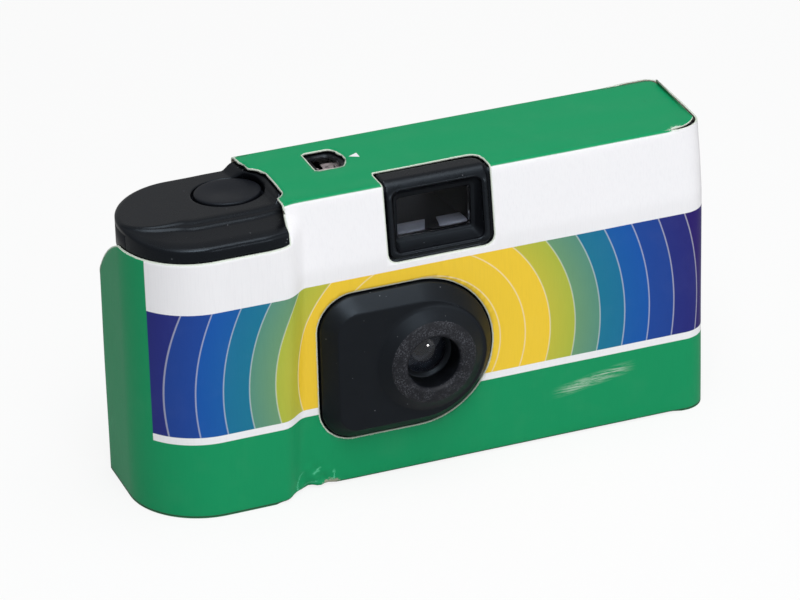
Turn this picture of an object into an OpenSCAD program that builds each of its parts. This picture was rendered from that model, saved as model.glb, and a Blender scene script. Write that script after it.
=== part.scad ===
// Disposable film camera. A printed card sleeve wraps a moulded casing in two halves.
// Inside are the chassis, the film cassette, the film advance, the frame counter,
// the shutter and the viewfinder. The front faces -Y and the cassette end is at -X.

/* [Sleeve] */
// Width over the card
body_w = 116; // [110:1:130]
// Height over the card
body_h = 60; // [56:0.5:70]
// Depth over the card at the flat part of the front
body_d = 26; // [25:0.5:28]
// Thickness of the card
card_t = 0.5; // [0.3:0.05:0.7]
// Radius of the front corner at the film roll end
front_corner_r = 5; // [3:0.5:8]
// Radius of the two back corners
back_corner_r = 3; // [2.5:0.25:5]
// Length of the swollen cassette end
bulge_w = 31.5; // [30:0.5:32.5]
// Length over which the swell falls back to the flat front
shoulder_w = 5.5; // [5:0.5:8]
// How far the front leans back at the top edge
lean = 2; // [0.5:0.25:2.5]
// Height of the leaning part of the front
lean_h = 14; // [12:0.5:16]
// Clear margin of the card round what stands in its cut-outs
card_margin = 0.25; // [0.15:0.05:0.5]

/* [Casing] */
// Gap between the card and the casing
casing_gap = 0.1; // [0.05:0.05:0.2]
// Thickness of the casing wall
wall = 1.1; // [0.9:0.1:1.4]
// Distance of the seam between the two casings behind the flat front
seam_from_front = 8.5; // [7.5:0.25:9.5]
// Gap between the two casings at the seam
seam_gap = 0.1; // [0.05:0.05:0.2]

/* [Shutter pod] */
// Length of the pod from the cassette end
pod_w = 28; // [27:0.5:29]
// Height of the card edge under the pod, below the sleeve's top
pod_h = 6.5; // [5.5:0.25:7]
// How far the pod's top lies below the sleeve's top
pod_step = 2.25; // [1.75:0.25:2.5]
// Rounding of the pod's top edge
pod_r = 2.5; // [1.5:0.25:3]
// Distance of the button from the cassette end
button_from_left = 23.6; // [23:0.1:24.5]
// Distance of the button behind the flat front
button_from_front = 15.5; // [14:0.25:16]
// Radius of the button
button_r = 6.5; // [5:0.25:6.75]
// How far the bay in the card reaches beside the button's axis
bay_reach = 8.2; // [7.8:0.1:8.6]
// Distance of that bay behind the flat front
bay_from_front = 4.7; // [4:0.1:6]
// Depth of the bay
bay_d = 15.1; // [14:0.1:16]
// Radius of the bay's front corner
bay_front_r = 3; // [2:0.25:4]
// Radius of the bay's back corner
bay_back_r = 4.4; // [3:0.2:5]
// Height of the button above the pod
button_proud = 0.6; // [0.3:0.1:1]
// Travel of the button
button_travel = 1.4; // [1:0.1:1.5]

/* [Lens panel] */
// Distance of the lens axis from the cassette end
lens_from_left = 56.4; // [55:0.2:58]
// Radius of the panel's round side
panel_r = 16; // [15.5:0.25:17]
// Distance from the round side's centre to the panel's square side
panel_reach = 20.3; // [19:0.25:21]
// Offset of the round side's centre from the lens axis, towards the square side
panel_offset = 1.4; // [0.5:0.1:2]
// Radius of the panel's upper corner
panel_upper_r = 7.5; // [5:0.5:9]
// Radius of the panel's lower corner
panel_lower_r = 6; // [4:0.5:8]
// How far the panel stands in front of the card
panel_proud = 3.2; // [2.6:0.1:3.6]
// Width of the panel's sloping border
panel_bevel = 2.6; // [1.5:0.1:3]
// How far the lens ring stands in front of the card
ring_proud = 5.6; // [4.8:0.1:6.5]
// Radius of the lens ring at its foot
ring_foot_r = 10.8; // [10:0.1:11.5]
// Radius of the lens ring at its crown
ring_crown_r = 8.4; // [7.5:0.1:9]
// Radius of the opening in the lens ring
ring_bore_r = 5.3; // [4.8:0.1:6]
// Radius of the taking lens
lens_r = 4.6; // [4:0.1:5]
// Radius of the lens stop
stop_r = 1.3; // [1:0.1:1.6]

/* [Viewfinder] */
// Distance of the finder's axis from the cassette end
finder_from_left = 60.4; // [60:0.2:62]
// Width of the finder's hood
hood_w = 21.6; // [21:0.2:23]
// Height of the hood's lower edge below the sleeve's top
hood_h = 15.5; // [15:0.25:16]
// How far the hood reaches back over the top
hood_reach = 8; // [7:0.25:9]
// Radius of the hood's lower corners
hood_r = 2; // [1:0.25:3]
// Width of the finder's front window
window_w = 15.6; // [14:0.2:16]
// Height of the finder's front window
window_h = 8.8; // [8:0.2:9]
// Width of the eyepiece
eyepiece_w = 11; // [10:0.2:12]
// Height of the eyepiece
eyepiece_h = 7.6; // [7:0.2:8]

/* [Film] */
// Radius of the film cassette
cassette_r = 12.5; // [12.3:0.05:12.6]
// Width of the film
film_w = 35; // [34.8:0.1:35]
// Thickness of the film
film_t = 0.14; // [0.12:0.01:0.16]
// Pitch of the film's perforations
perf_pitch = 4.75; // [4.7:0.01:4.8]
// Width of the picture
picture_w = 36; // [34:0.5:36]
// Height of the panorama picture
picture_h = 13; // [12:0.5:14]
// Outer radius of the wound film in the supply chamber
roll_r = 8.5; // [7.5:0.25:9]

/* [Advance] */
// Thickness of the thumb wheel
wheel_t = 3.9; // [3.5:0.1:4]
// Ridges on the thumb wheel's rim
wheel_ridges = 40; // [30:1:48]
// Width of the thumb opening in the back
thumb_w = 22; // [20:0.5:23]
// Height of the thumb opening in the back
thumb_h = 8.5; // [8:0.25:9]
// Depth and height of the card's corner that is cut off beside the thumb opening
bite = 15; // [13:0.5:16]
// Radius of that corner's bulging edge
bite_r = 30; // [24:1:40]
// Teeth on the sprocket
sprocket_teeth = 8; // [8]
// Radius of the sprocket's shaft
shaft_r = 1.5; // [1.2:0.1:1.6]
// Radius of the counter disc
counter_r = 6.5; // [6:0.1:6.6]
// Teeth on the counter disc
counter_teeth = 20; // [18:1:24]

/* [Hidden] */
$fn = 48;

// Common clearances and small sizes
fit = 0.05;          // radial clearance of a running fit
clear = 0.3;         // clearance between pieces that pass each other
seat = 0.1;          // clearance round a piece in its seat
eps = 0.01;          // overlap that makes two shapes one
over = 5;            // length by which a cut runs past what it cuts
rib = 1;             // wall of the chassis
corner_steps = 10;   // straight steps in a rounded corner
shoulder_steps = 10; // straight steps in the shoulder

// The sleeve's faces. The origin is at the middle of the base of the whole object.
xl = -body_w / 2;
xr = body_w / 2;
yb = (body_d + ring_proud) / 2;
yf = yb - body_d;
off = card_t + casing_gap;
cas = off + wall;
seam_y = yf + seam_from_front;

// The pod, with the button, the release lever's finger and the thumb wheel below one another
pod_z = body_h - pod_h;
pod_top = body_h - pod_step;
pod_in = pod_top - wall;
seam_z = pod_top - pod_r - clear;
flange_t = 0.75;
flange_r = button_r + 0.8;
button_boss_r = 0.8;
button_boss_h = 0.5;
flange_z = pod_in - seat - flange_t;
finger_t = 1;
finger_w = 2.4;
finger_z = flange_z - button_boss_h - clear - finger_t;
button_x = xl + button_from_left;
button_y = yf + button_from_front;
release_gap = 4;
release_x = xl + pod_w + release_gap;
release_arm = release_x - button_x;
release_swing = asin(button_travel / release_arm);
finger_drop = (release_arm + finger_w / 2) * sin(release_swing);
plate_t = 0.9;
plate_z = finger_z - finger_drop - seat - plate_t;
wheel_z = plate_z - clear - wheel_t;

// The cassette stands under the wheel. It fills the swollen end and sets how far that end stands forward.
cassette_clear = 0.35;
chamber_r = cassette_r + cassette_clear;
bulge_p = 2 * (chamber_r + cas) - body_d;
bulge_y = yf - bulge_p;
end_r = chamber_r + cas;
cass_x = xl + cas + chamber_r;
cass_y = yb - cas - chamber_r;
cap_t = 0.5;
cap_lip = 0.25;
lid_rim = 1;
cass_z0 = cas + lid_rim + fit;
cass_z1 = wheel_z - cap_t - seat;
cassette_h = cass_z1 - cass_z0;
shell_t = 0.35;
stub_r = 4.9;
spool_r = 5.4;
key_r = 3.4;
key_t = 1.2;
lid_r = cassette_r - rib;
wheel_r = chamber_r + clear;
wheel_pin_r = 2;
ridge = 0.5;
wound_t = 2;
pawl_angle = 20;
pawl_t = 0.5;
pawl_len = 5;

// The film runs from the roll to the cassette behind the gate
film_z = cass_z0 + cassette_h / 2;
mouth_offset = 9.2;
mouth_len = 6;
mouth_x0 = cass_x + sqrt(cassette_r * cassette_r - mouth_offset * mouth_offset) - rib;
mouth_x1 = mouth_x0 + mouth_len;
lip_t = 0.3;
felt_t = 0.28;
film_y = cass_y + mouth_offset;
film_gap = 0.15;
film_slip = 0.01;
perf_w = 2;
perf_h = 2.8;
perf_edge = 2;
roll_margin = 2;
roll_x = xr - cas - clear - roll_r - roll_margin;
roll_y = film_y - roll_r;
roll_core_r = 3.5;
roll_pin_r = 2;
roll_lid_r = roll_r + rib;

// Lens, gate and exposure tunnel
lens_x = xl + lens_from_left;
lens_z = film_z;
tunnel_hw = picture_w / 2 + rib;
tunnel_hh = 11.5;
lever_space = 3.2;
web_y = yf + cas + lever_space;
gate_y = film_y - film_gap - rib;
mask_t = 1.6;
exposure_r = 2.4;

// Deck above the film
deck_z = film_z + film_w / 2 + rib;
deck_t = 1.2;
deck_x0 = mouth_x1 + clear;
deck_x1 = roll_x - roll_r - clear;

// Sprocket and counter
sprocket_r = sprocket_teeth * perf_pitch / (2 * PI);
tooth_h = 0.9;
sprocket_t = 3;
perf_z = film_z + film_w / 2 - perf_edge - perf_h / 2;
sprocket_gap = 2.2;
sprocket_x = cass_x + cassette_r + sprocket_r + sprocket_gap;
sprocket_y = film_y - sprocket_r;
cam_r = 4;
cam_t = 1.4;
cam_z = deck_z + deck_t + clear;
counter_t = 1.2;
counter_drop = 3;
counter_z = body_h - cas - counter_drop;
counter_angle = -10;
drive_finger = 0.9;
counter_gap = counter_r + shaft_r + drive_finger + clear * 2 / 3;
counter_x = sprocket_x + counter_gap * cos(counter_angle);
counter_y = sprocket_y + counter_gap * sin(counter_angle);
counter_pin_r = 1.2;
counter_tooth = 0.8;
plate_margin = 4;
eye_w = 6;
eye_d = 8.2;
eye_x = counter_x + seat;
eye_y = counter_y + eye_d / 2;

// Viewfinder
finder_x = xl + finder_from_left;
finder_drop = 8.3;
finder_z = body_h - finder_drop;
hood_z = body_h - hood_h;
hood_face = 0.2;
hood_floor = 4.3;
recess = 1;
finder_t = 1.7;
finder_y0 = yf + hood_floor + seat;
finder_y1 = yb - cas - clear;

// Lens stack
blade_t = 0.4;
stop_t = 1;
blade_gap = 0.2;
stop_y = yf + cas + 2 * blade_gap;
blade_y = web_y - blade_gap - blade_t;
lens_t = 2.2;
lens_y = stop_y - lens_t;
retainer_r = 7.4;
retainer_lip = 0.5;
panel_x = lens_x - panel_offset;
panel_wall = 1.2;
panel_face = yf - panel_proud;

// Levers in front of the web
lever_t = 1.2;
lever_y = web_y - clear - lever_t;
pin_r = 1;
blade_pin_r = 0.8;
boss_r = 2.2;
blade_boss_r = 1.8;
release_z = (deck_z + plate_z) / 2;
drive_side = 6.4;
drive_x = lens_x - drive_side;
drive_drop = 2.5;
drive_z = deck_z - drive_drop;
nose_len = 2.5;
drive_reach = 18;
drive_swing = 10;
blade_side = 6;
blade_rise = 8;
blade_x = lens_x + blade_side;
blade_z = lens_z + blade_rise;
blade_swing = 32;
blade_tip_r = 3.4;
lug_x = 6.1;
lug_z = 2;
lock_len = 8.5;
lock_x = sprocket_x + lock_len;
lock_y = sprocket_y - cam_r - clear;
lock_w = 2;
lock_swing = 8;

// Springs
wire = 0.4;
spring_sides = 6;
spring_rings = 8;
button_turns = 3;
drive_turns = 2;
blade_turns = 1;
lock_turns = 2;
lock_coil_h = 5 * wire;
button_coil_r = 1.6;
button_coil_offset = 3.6;
button_coil_y = button_y + button_coil_offset;

// A corner arc of the sleeve's outline, inset by i. x and y are the outer edges there.
function corner(x, y, sx, sy, r, i, a0) =
    let (q = max(r - i, 0.15))
    [for (k = [0:corner_steps])
        let (a = a0 + 90 * k / corner_steps)
        [x + sx * (i + q) + q * cos(a), y + sy * (i + q) + q * sin(a)]];

// The shoulder is a half cosine wave from the swell to the flat front, inset along its normal
function shoulder(i) =
    [for (k = [0:shoulder_steps])
        let (t = k / shoulder_steps,
             slope = bulge_p * PI / (2 * shoulder_w) * sin(180 * t),
             n = sqrt(1 + slope * slope))
        [xl + bulge_w - shoulder_w * (1 - t) - i * slope / n,
         bulge_y + bulge_p * (1 - cos(180 * t)) / 2 + i / n]];

// The outline of the body, inset by i. r is the radius of the back corner at the cassette end.
function plan_points(i, r) = concat(
    corner(xl, yb, 1, -1, r, i, 90),
    corner(xl, bulge_y, 1, 1, end_r, i, 180),
    shoulder(i),
    corner(xr, yf, -1, 1, front_corner_r, i, 270),
    corner(xr, yb, -1, -1, back_corner_r, i, 0));

module plan(i, r) { polygon(plan_points(i, r)); }

// The body's form, inset by i on every face
module envelope(i, r) {
    difference() {
        translate([0, 0, i]) linear_extrude(body_h - 2 * i) plan(i, r);
        translate([xl + bulge_w, 0, 0]) rotate([90, 0, 90]) linear_extrude(body_w)
            polygon([[yf - lean, body_h - lean_h], [yf + i, body_h - lean_h],
                     [yf + i + lean, body_h], [yf - lean, body_h]]);
    }
}

// A box between two corners
module block(a, b) { translate(a) cube(b - a); }

// A rectangle w by h about the origin, with its lower corners rounded
module window(w, h, r) {
    union() {
        translate([-w / 2, -h / 2 + r]) square([w, h - r]);
        translate([-w / 2 + r, -h / 2]) square([w - 2 * r, h]);
        for (s = [-1, 1]) translate([s * (w / 2 - r), -h / 2 + r]) circle(r);
    }
}

// Extrudes a drawing of X and Z backwards along Y, from y0 to y1
module along_y(y0, y1) {
    translate([0, y1, 0]) rotate([90, 0, 0]) linear_extrude(y1 - y0) children();
}

// A round bar along Y at x and z
module bar_y(x, z, r, y0, y1) { along_y(y0, y1) translate([x, z]) circle(r); }

// A round bar along Z at x and y
module bar_z(x, y, r, z0, z1) { translate([x, y, z0]) cylinder(r = r, h = z1 - z0); }

// A coil spring along Z, one tube swept along a helix of n turns from z0 to z1
module coil(x, y, r, n, z0, z1) {
    rings = n * spring_rings;
    function ring(k) =
        let (a = 360 * k / spring_rings, z = z0 + wire / 2 + (z1 - z0 - wire) * k / rings)
        [for (s = [0:spring_sides - 1])
            let (b = 360 * s / spring_sides, q = r + wire / 2 * cos(b))
            [x + q * cos(a), y + q * sin(a), z + wire / 2 * sin(b)]];
    points = [for (k = [0:rings]) each ring(k)];
    function at(k, s) = k * spring_sides + s % spring_sides;
    sides = [for (k = [0:rings - 1], s = [0:spring_sides - 1])
        each [[at(k, s), at(k + 1, s), at(k + 1, s + 1)], [at(k, s), at(k + 1, s + 1), at(k, s + 1)]]];
    ends = [[for (s = [0:spring_sides - 1]) s],
            [for (s = [spring_sides - 1:-1:0]) at(rings, s)]];
    polyhedron(points, concat(sides, ends), convexity = 6);
}

// The same coil along Y, at x and z
module coil_y(x, z, r, n, y0, y1) {
    translate([x, 0, z]) rotate([-90, 0, 0]) coil(0, 0, r, n, y0, y1);
}

// The lens panel's outline in X and Z, inset by i: round on one side, square on the other
module panel_outline(i) {
    translate([panel_x, lens_z]) union() {
        circle(panel_r - i);
        translate([-panel_reach + i, -panel_r + panel_lower_r])
            square([panel_reach - i, 2 * panel_r - panel_lower_r - panel_upper_r]);
        translate([-panel_reach + panel_lower_r, -panel_r + i])
            square([panel_reach - panel_lower_r, panel_lower_r]);
        translate([-panel_reach + panel_upper_r, panel_r - panel_upper_r])
            square([panel_reach - panel_upper_r, panel_upper_r - i]);
        translate([-panel_reach + panel_lower_r, -panel_r + panel_lower_r]) circle(panel_lower_r - i);
        translate([-panel_reach + panel_upper_r, panel_r - panel_upper_r]) circle(panel_upper_r - i);
    }
}

// The raised panel, inset by i on every side, from the casing's front to its own face
module panel_form(i, y_foot) {
    hull() {
        along_y(yf - eps, y_foot) panel_outline(card_margin + i);
        along_y(panel_face + i, panel_face + i + eps) panel_outline(card_margin + panel_bevel + i);
    }
}

// The finder hood's outline, grown by g, as a block from in front of the sleeve to its back edge
module hood_form(g) {
    top = over;
    along_y(yf - over, yf + hood_reach + g)
        translate([finder_x, (hood_z + body_h + top) / 2])
            window(hood_w + 2 * g, body_h + top - hood_z + 2 * g, hood_r);
}

// The counter window's outline in X and Y, grown by g: straight on three sides, round on one
module eye_outline(g) {
    translate([eye_x, eye_y]) intersection() {
        square([eye_w + 2 * g, eye_d + 2 * g], center = true);
        translate([-eye_w / 2, 0]) circle(eye_w + g);
    }
}

// The corner of the card that is cut away so that a thumb reaches the wheel, along a bulging arc
module thumb_bite() {
    reach = bite / 2 + sqrt((bite_r * bite_r - bite * bite / 2) / 2);
    difference() {
        block([xl - over, yb - bite, pod_z - bite], [xl + pod_w, yb + over, pod_z + over]);
        translate([xl - 2 * over, yb - reach, pod_z - reach]) rotate([0, 90, 0])
            cylinder(r = bite_r, h = pod_w + 3 * over);
    }
}

// The bay beside the button, seen from above
module bay_outline() {
    x0 = xl + pod_w - rib;
    x1 = button_x + bay_reach;
    y0 = yf + bay_from_front;
    y1 = y0 + bay_d;
    polygon(concat([[x0, y1], [x0, y0]],
                   corner(x1, y0, -1, 1, bay_front_r, 0, 270),
                   corner(x1, y1, -1, -1, bay_back_r, 0, 0)));
}

// The part of the sleeve that is cut away for the pod, with the bay beside the button
module pod_cut() {
    block([xl - over, bulge_y - over, pod_z], [xl + pod_w, yb + over, body_h + over]);
    block([xl, bulge_y - over, pod_z], [xl + bulge_w, yf + hood_reach, body_h + over]);
    translate([0, 0, pod_z]) linear_extrude(pod_h + over) bay_outline();
    thumb_bite();
}

module thumb_opening() {
    along_y(cass_y, yb + over) translate([cass_x, wheel_z + wheel_t / 2])
        square([thumb_w, thumb_h], center = true);
}

module eyepiece_opening(g, y0) {
    along_y(y0, yb + over) translate([finder_x, finder_z])
        square([eyepiece_w + 2 * g, eyepiece_h + 2 * g], center = true);
}

// The printed sleeve, folded from one piece of card
module card_sleeve() {
    color("seagreen") difference() {
        envelope(0, back_corner_r);
        envelope(card_t, back_corner_r);
        pod_cut();
        hood_form(0);
        along_y(yf - over, yf + card_t + eps) panel_outline(0);
        translate([0, 0, body_h - card_t - eps]) linear_extrude(over) eye_outline(0);
        eyepiece_opening(rib, yb - card_t - eps);
    }
}

// The pod's form, inset by i, rounded along its top edge and cut off square at x_end
module pod_form(i, x_end) {
    q = pod_r - i;
    top = pod_top - i;
    layers = [[0, pod_z - i, pod_top - pod_z - q],
              [q * (1 - cos(45)), top - q * (1 - sin(45)), eps],
              [q, top - eps, eps]];
    hull() for (layer = layers)
        translate([0, 0, layer[1]]) linear_extrude(layer[2])
            intersection() {
                plan(off + i + layer[0], end_r);
                translate([xl, bulge_y]) square([x_end - xl, yb - bulge_y]);
            }
}

// The casing's form, inset by i from the sleeve's outside
module casing_form(i) {
    difference() {
        envelope(i, end_r);
        block([xl, bulge_y, pod_z - (i - off)], [xl + pod_w, yb, body_h]);
    }
    pod_form(i - off, xl + pod_w + (i - off));
}

module casing_shell() {
    difference() {
        casing_form(off);
        casing_form(cas);
        bar_z(cass_x, cass_y, lid_r + seat, -over, cas + eps);
        bar_z(roll_x, roll_y, roll_lid_r + seat, -over, cas + eps);
        bar_z(cass_x, cass_y, wheel_r + clear, wheel_z - clear, wheel_z + wheel_t + clear);
    }
}

// The space of the rear casing, grown by g across the seam
module behind_seam(g) { block([xl, seam_y - g, -over], [xr, yb + over, seam_z + g]); }

// The lens ring, turned about the lens axis
module lens_ring() {
    translate([lens_x, 0, lens_z]) rotate([90, 0, 0]) rotate_extrude()
        polygon([[ring_bore_r, -panel_face - panel_wall], [ring_foot_r, -panel_face - panel_wall],
                 [ring_foot_r, -panel_face], [ring_crown_r, -yf + ring_proud - rib],
                 [ring_crown_r - rib, -yf + ring_proud], [ring_bore_r + rib, -yf + ring_proud],
                 [ring_bore_r, -yf + ring_proud - rib]]);
}

// The front half of the casing, with the pod, the finder's hood and the lens panel
module front_casing() {
    color("#17191f") difference() {
        union() {
            difference() {
                union() {
                    difference() {
                        casing_shell();
                        behind_seam(seam_gap);
                    }
                    panel_form(0, yf + cas);
                    intersection() {
                        envelope(hood_face, end_r);
                        hood_form(-card_margin);
                        block([xl, yf, hood_z], [xr, yf + hood_floor, body_h]);
                    }
                    intersection() {
                        envelope(hood_face, end_r);
                        hood_form(-card_margin);
                        block([xl, yf, body_h - cas], [xr, yf + over + hood_reach, body_h]);
                    }
                }
                panel_form(panel_wall, yf + cas + eps);
            }
            lens_ring();
        }
        bar_y(lens_x, lens_z, ring_bore_r, yf - ring_proud - over, yf + cas);
        finder_recess();
        along_y(yf, yf + hood_floor + over) translate([finder_x, finder_z])
            square([window_w, window_h], center = true);
        bar_z(button_x, button_y, button_r + clear, pod_in - over, pod_top + over);
        translate([0, 0, body_h - cas - eps]) linear_extrude(over) eye_outline(-rib);
        eyepiece_opening(0, yb - cas - eps);
    }
}

// The sloping sides of the finder's front recess
module finder_recess() {
    hull() {
        along_y(yf - over, yf + lean) translate([finder_x, finder_z])
            square([window_w + 2 * recess, window_h + 2 * recess], center = true);
        along_y(yf + hood_floor - rib, yf + hood_floor - rib + eps) translate([finder_x, finder_z])
            square([window_w, window_h], center = true);
    }
}

// The rear half of the casing, with the rails that press the film to the gate
module rear_casing() {
    rail_x = sprocket_x + sprocket_r + tooth_h + clear;
    color("#1c1e24") difference() {
        union() {
            intersection() {
                casing_shell();
                behind_seam(0);
            }
            for (s = [-1, 1]) block(
                [rail_x, film_y + film_t + film_gap, film_z + s * (film_w / 2 - perf_edge) - rib],
                [lens_x + tunnel_hw + rib, yb - cas + eps, film_z + s * (film_w / 2 - perf_edge) + rib]);
        }
        thumb_opening();
        eyepiece_opening(0, yb - cas - eps);
    }
}

// The chassis: gate, exposure tunnel, deck, web for the levers and the finder's tunnel
module chassis() {
    x0 = lens_x - tunnel_hw;
    x1 = lens_x + tunnel_hw;
    z0 = lens_z - tunnel_hh;
    z1 = lens_z + tunnel_hh;
    color("#2a2c31") difference() {
        union() {
            // Tunnel walls, gate and web
            block([x0 - rib, web_y, z0 - rib], [x1 + rib, gate_y + rib, z1 + rib]);
            block([deck_x0, gate_y, cas], [deck_x1, gate_y + rib, deck_z + deck_t]);
            block([deck_x0, web_y, z1], [x1 + rib, web_y + rib, deck_z + deck_t]);
            block([deck_x0, web_y, deck_z], [finder_x - hood_w / 2, web_y + rib, release_z + boss_r]);
            // Deck
            block([deck_x0, web_y, deck_z], [deck_x1, gate_y + rib, deck_z + deck_t]);
            // Posts that carry the mechanism plate
            for (x = [deck_x0 + rib, counter_x + plate_margin - rib])
                block([x - rib, gate_y - rib, deck_z], [x + rib, gate_y + rib, plate_z]);
            block([deck_x0, web_y, deck_z], [deck_x0 + 2 * rib, web_y + 2 * rib, plate_z]);
            // Feet
            for (x = [deck_x0, x1]) block([x, gate_y - 3 * rib, cas], [x + rib, gate_y + rib, z0]);
            // Finder's tunnel
            block([finder_x - window_w / 2 - rib, finder_y0, deck_z + deck_t - eps],
                  [finder_x + window_w / 2 + rib, finder_y1, finder_z + window_h / 2 + rib]);
            // Pins of the levers and of the blade
            bar_y(release_x, release_z, pin_r, lever_y - seat, web_y + eps);
            bar_y(drive_x, drive_z, pin_r, lever_y - seat, web_y + eps);
            bar_y(blade_x, blade_z, blade_pin_r, stop_y + stop_t + seat, web_y + eps);
            bar_z(lock_x, lock_y, pin_r, deck_z, cam_z + cam_t + seat);
        }
        // Inside of the tunnel, with the exposure hole in front and the gate behind
        block([x0, web_y + rib, z0], [x1, gate_y, z1]);
        block([lens_x - picture_w / 2, gate_y - eps, z0 + rib],
              [lens_x + picture_w / 2, gate_y + rib + eps, z1 - rib]);
        bar_y(lens_x, lens_z, exposure_r, web_y - over, web_y + rib + eps);
        // Bearing of the sprocket's shaft, and room for the sprocket at the gate
        bar_z(sprocket_x, sprocket_y, shaft_r + fit, deck_z - over, deck_z + over);
        bar_z(sprocket_x, sprocket_y, sprocket_r + tooth_h + clear,
              perf_z - sprocket_t / 2 - clear, perf_z + sprocket_t / 2 + clear);
        // Inside of the finder's tunnel
        hull() {
            along_y(finder_y0 - eps, finder_y0 + finder_t + seat) translate([finder_x, finder_z])
                square([window_w, window_h], center = true);
            along_y(finder_y1 - eps, finder_y1 + eps) translate([finder_x, finder_z])
                square([eyepiece_w, eyepiece_h], center = true);
        }
    }
}

// The plate that holds the thumb wheel down and carries the counter
module mechanism_plate() {
    x1 = counter_x + plate_margin;
    y0 = web_y;
    y1 = gate_y + rib;
    color("#33353b") difference() {
        union() {
            intersection() {
                translate([0, 0, plate_z]) linear_extrude(plate_t) plan(cas + clear, end_r);
                block([xl, y0, plate_z], [x1, y1, plate_z + plate_t]);
            }
            bar_z(cass_x, cass_y, wheel_pin_r, wheel_z + wheel_t / 2, plate_z + eps);
            bar_z(counter_x, counter_y, counter_pin_r, plate_z, counter_z + counter_t + seat);
            bar_z(counter_x, counter_y, counter_pin_r + rib, plate_z, counter_z - seat);
        }
        bar_z(sprocket_x, sprocket_y, shaft_r + fit, plate_z - eps, plate_z + over);
    }
}

// The two lids that close the film chambers from below
module chamber_lid(x, y, r) {
    color("#1f2126") difference() {
        bar_z(x, y, r, off, cas + lid_rim);
        bar_z(x, y, r - 2 * rib, cas, cas + over);
    }
}

module cassette_lid() { chamber_lid(cass_x, cass_y, lid_r); }

module film_roll_lid() { chamber_lid(roll_x, roll_y, roll_lid_r); }

// The clear window over the counter, held in the casing's top
module counter_window() {
    color("#e8f2f5", 0.5) union() {
        translate([0, 0, body_h - cas - seat - rib]) linear_extrude(rib) eye_outline(0);
        translate([0, 0, body_h - cas - seat - eps]) linear_extrude(wall + seat) eye_outline(-rib - seat);
    }
}

module finder_front_lens() {
    color("#e8f2f5", 0.5) along_y(finder_y0 + seat, finder_y0 + finder_t) translate([finder_x, finder_z])
        square([window_w - 2 * seat, window_h - 2 * seat], center = true);
}

module finder_rear_lens() {
    color("#e8f2f5", 0.5) along_y(finder_y1 + seat, yb - cas - seat + wall) translate([finder_x, finder_z])
        square([eyepiece_w - 2 * seat, eyepiece_h - 2 * seat], center = true);
}

// A meniscus: the front is a shallow dome, the back is hollow
module taking_lens() {
    dome = 0.7;
    flat = lens_t - dome;
    ball = (lens_r * lens_r + dome * dome) / (2 * dome);
    color("#dfeaf0", 0.5) translate([lens_x, lens_y + lens_t, lens_z]) rotate([90, 0, 0])
        rotate_extrude() difference() {
            intersection() {
                square([lens_r, lens_t]);
                translate([0, lens_t - ball]) circle(ball);
            }
            translate([0, flat / 2 - ball - dome / 2]) circle(ball);
        }
}

// The cap that clamps the lens to the stop plate
module lens_retainer() {
    color("#141519") difference() {
        bar_y(lens_x, lens_z, retainer_r, lens_y - retainer_lip - seat, stop_y - seat / 2);
        bar_y(lens_x, lens_z, lens_r + fit, lens_y - seat, stop_y + eps);
        bar_y(lens_x, lens_z, lens_r - retainer_lip, lens_y - over, stop_y);
    }
}

// The plate with the lens stop, on two legs in front of the shutter
module stop_plate() {
    w = retainer_r + rib;
    leg_z = lens_z - w + rib;
    color("#3a3c42") difference() {
        union() {
            block([lens_x - w, stop_y, lens_z - w], [lens_x + w, stop_y + stop_t, lens_z + w - 2 * rib]);
            for (s = [-1, 1]) bar_y(lens_x + s * (w - rib), leg_z, rib, stop_y, web_y - eps);
        }
        bar_y(lens_x, lens_z, stop_r, stop_y - eps, stop_y + stop_t + eps);
    }
}

// The frame that cuts the picture down to a panorama
module panorama_mask() {
    color("#101114") difference() {
        block([lens_x - tunnel_hw + seat, gate_y - mask_t, lens_z - tunnel_hh + seat],
              [lens_x + tunnel_hw - seat, gate_y - fit, lens_z + tunnel_hh - seat]);
        block([lens_x - picture_w / 2, gate_y - over, lens_z - picture_h / 2],
              [lens_x + picture_w / 2, gate_y + over, lens_z + picture_h / 2]);
    }
}

// The cassette's rolled shell, with the two lips of its mouth
module cassette_shell() {
    x0 = mouth_x0;
    x1 = mouth_x1;
    lip0 = film_y - felt_t - seat - lip_t;
    lip1 = film_y + film_t + felt_t + seat;
    color("#3d6b4f") difference() {
        union() {
            bar_z(cass_x, cass_y, cassette_r, cass_z0 + cap_t, cass_z1 - cap_t);
            block([x0, lip0, cass_z0 + cap_t], [x1, lip1 + lip_t, cass_z1 - cap_t]);
        }
        bar_z(cass_x, cass_y, cassette_r - shell_t, cass_z0, cass_z1);
        block([x0 - over, lip0 + lip_t, cass_z0 + cap_t - eps], [x1 + eps, lip1, cass_z1 - cap_t + eps]);
    }
}

module cassette_caps() {
    color("#c9ccd0") for (z = [cass_z0, cass_z1 - cap_t]) difference() {
        bar_z(cass_x, cass_y, cassette_r + cap_lip, z, z + cap_t);
        bar_z(cass_x, cass_y, stub_r + clear / 2, z - eps, z + cap_t + eps);
    }
}

// The plush strips that keep light out of the cassette
module cassette_felt() {
    x0 = mouth_x0 + rib;
    x1 = mouth_x1 - rib;
    color("#0c0c0d") for (y = [film_y - felt_t - fit, film_y + film_t + fit])
        block([x0, y, cass_z0 + cap_t], [x1, y + felt_t, cass_z1 - cap_t]);
}

// The film across the gate, with its two rows of perforations
module film_strip() {
    x0 = cass_x + mouth_offset;
    y0 = film_y + film_slip;
    first = -floor((sprocket_x - x0) / perf_pitch);
    last = floor((roll_x - perf_w - sprocket_x) / perf_pitch);
    color("#5a4632") difference() {
        block([x0, y0, film_z - film_w / 2], [roll_x, y0 + film_t, film_z + film_w / 2]);
        for (k = [first:last], s = [-1, 1])
            translate([sprocket_x + k * perf_pitch, film_y, film_z + s * (perf_z - film_z)])
                cube([perf_w, 4 * film_t, perf_h], center = true);
    }
}

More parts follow.
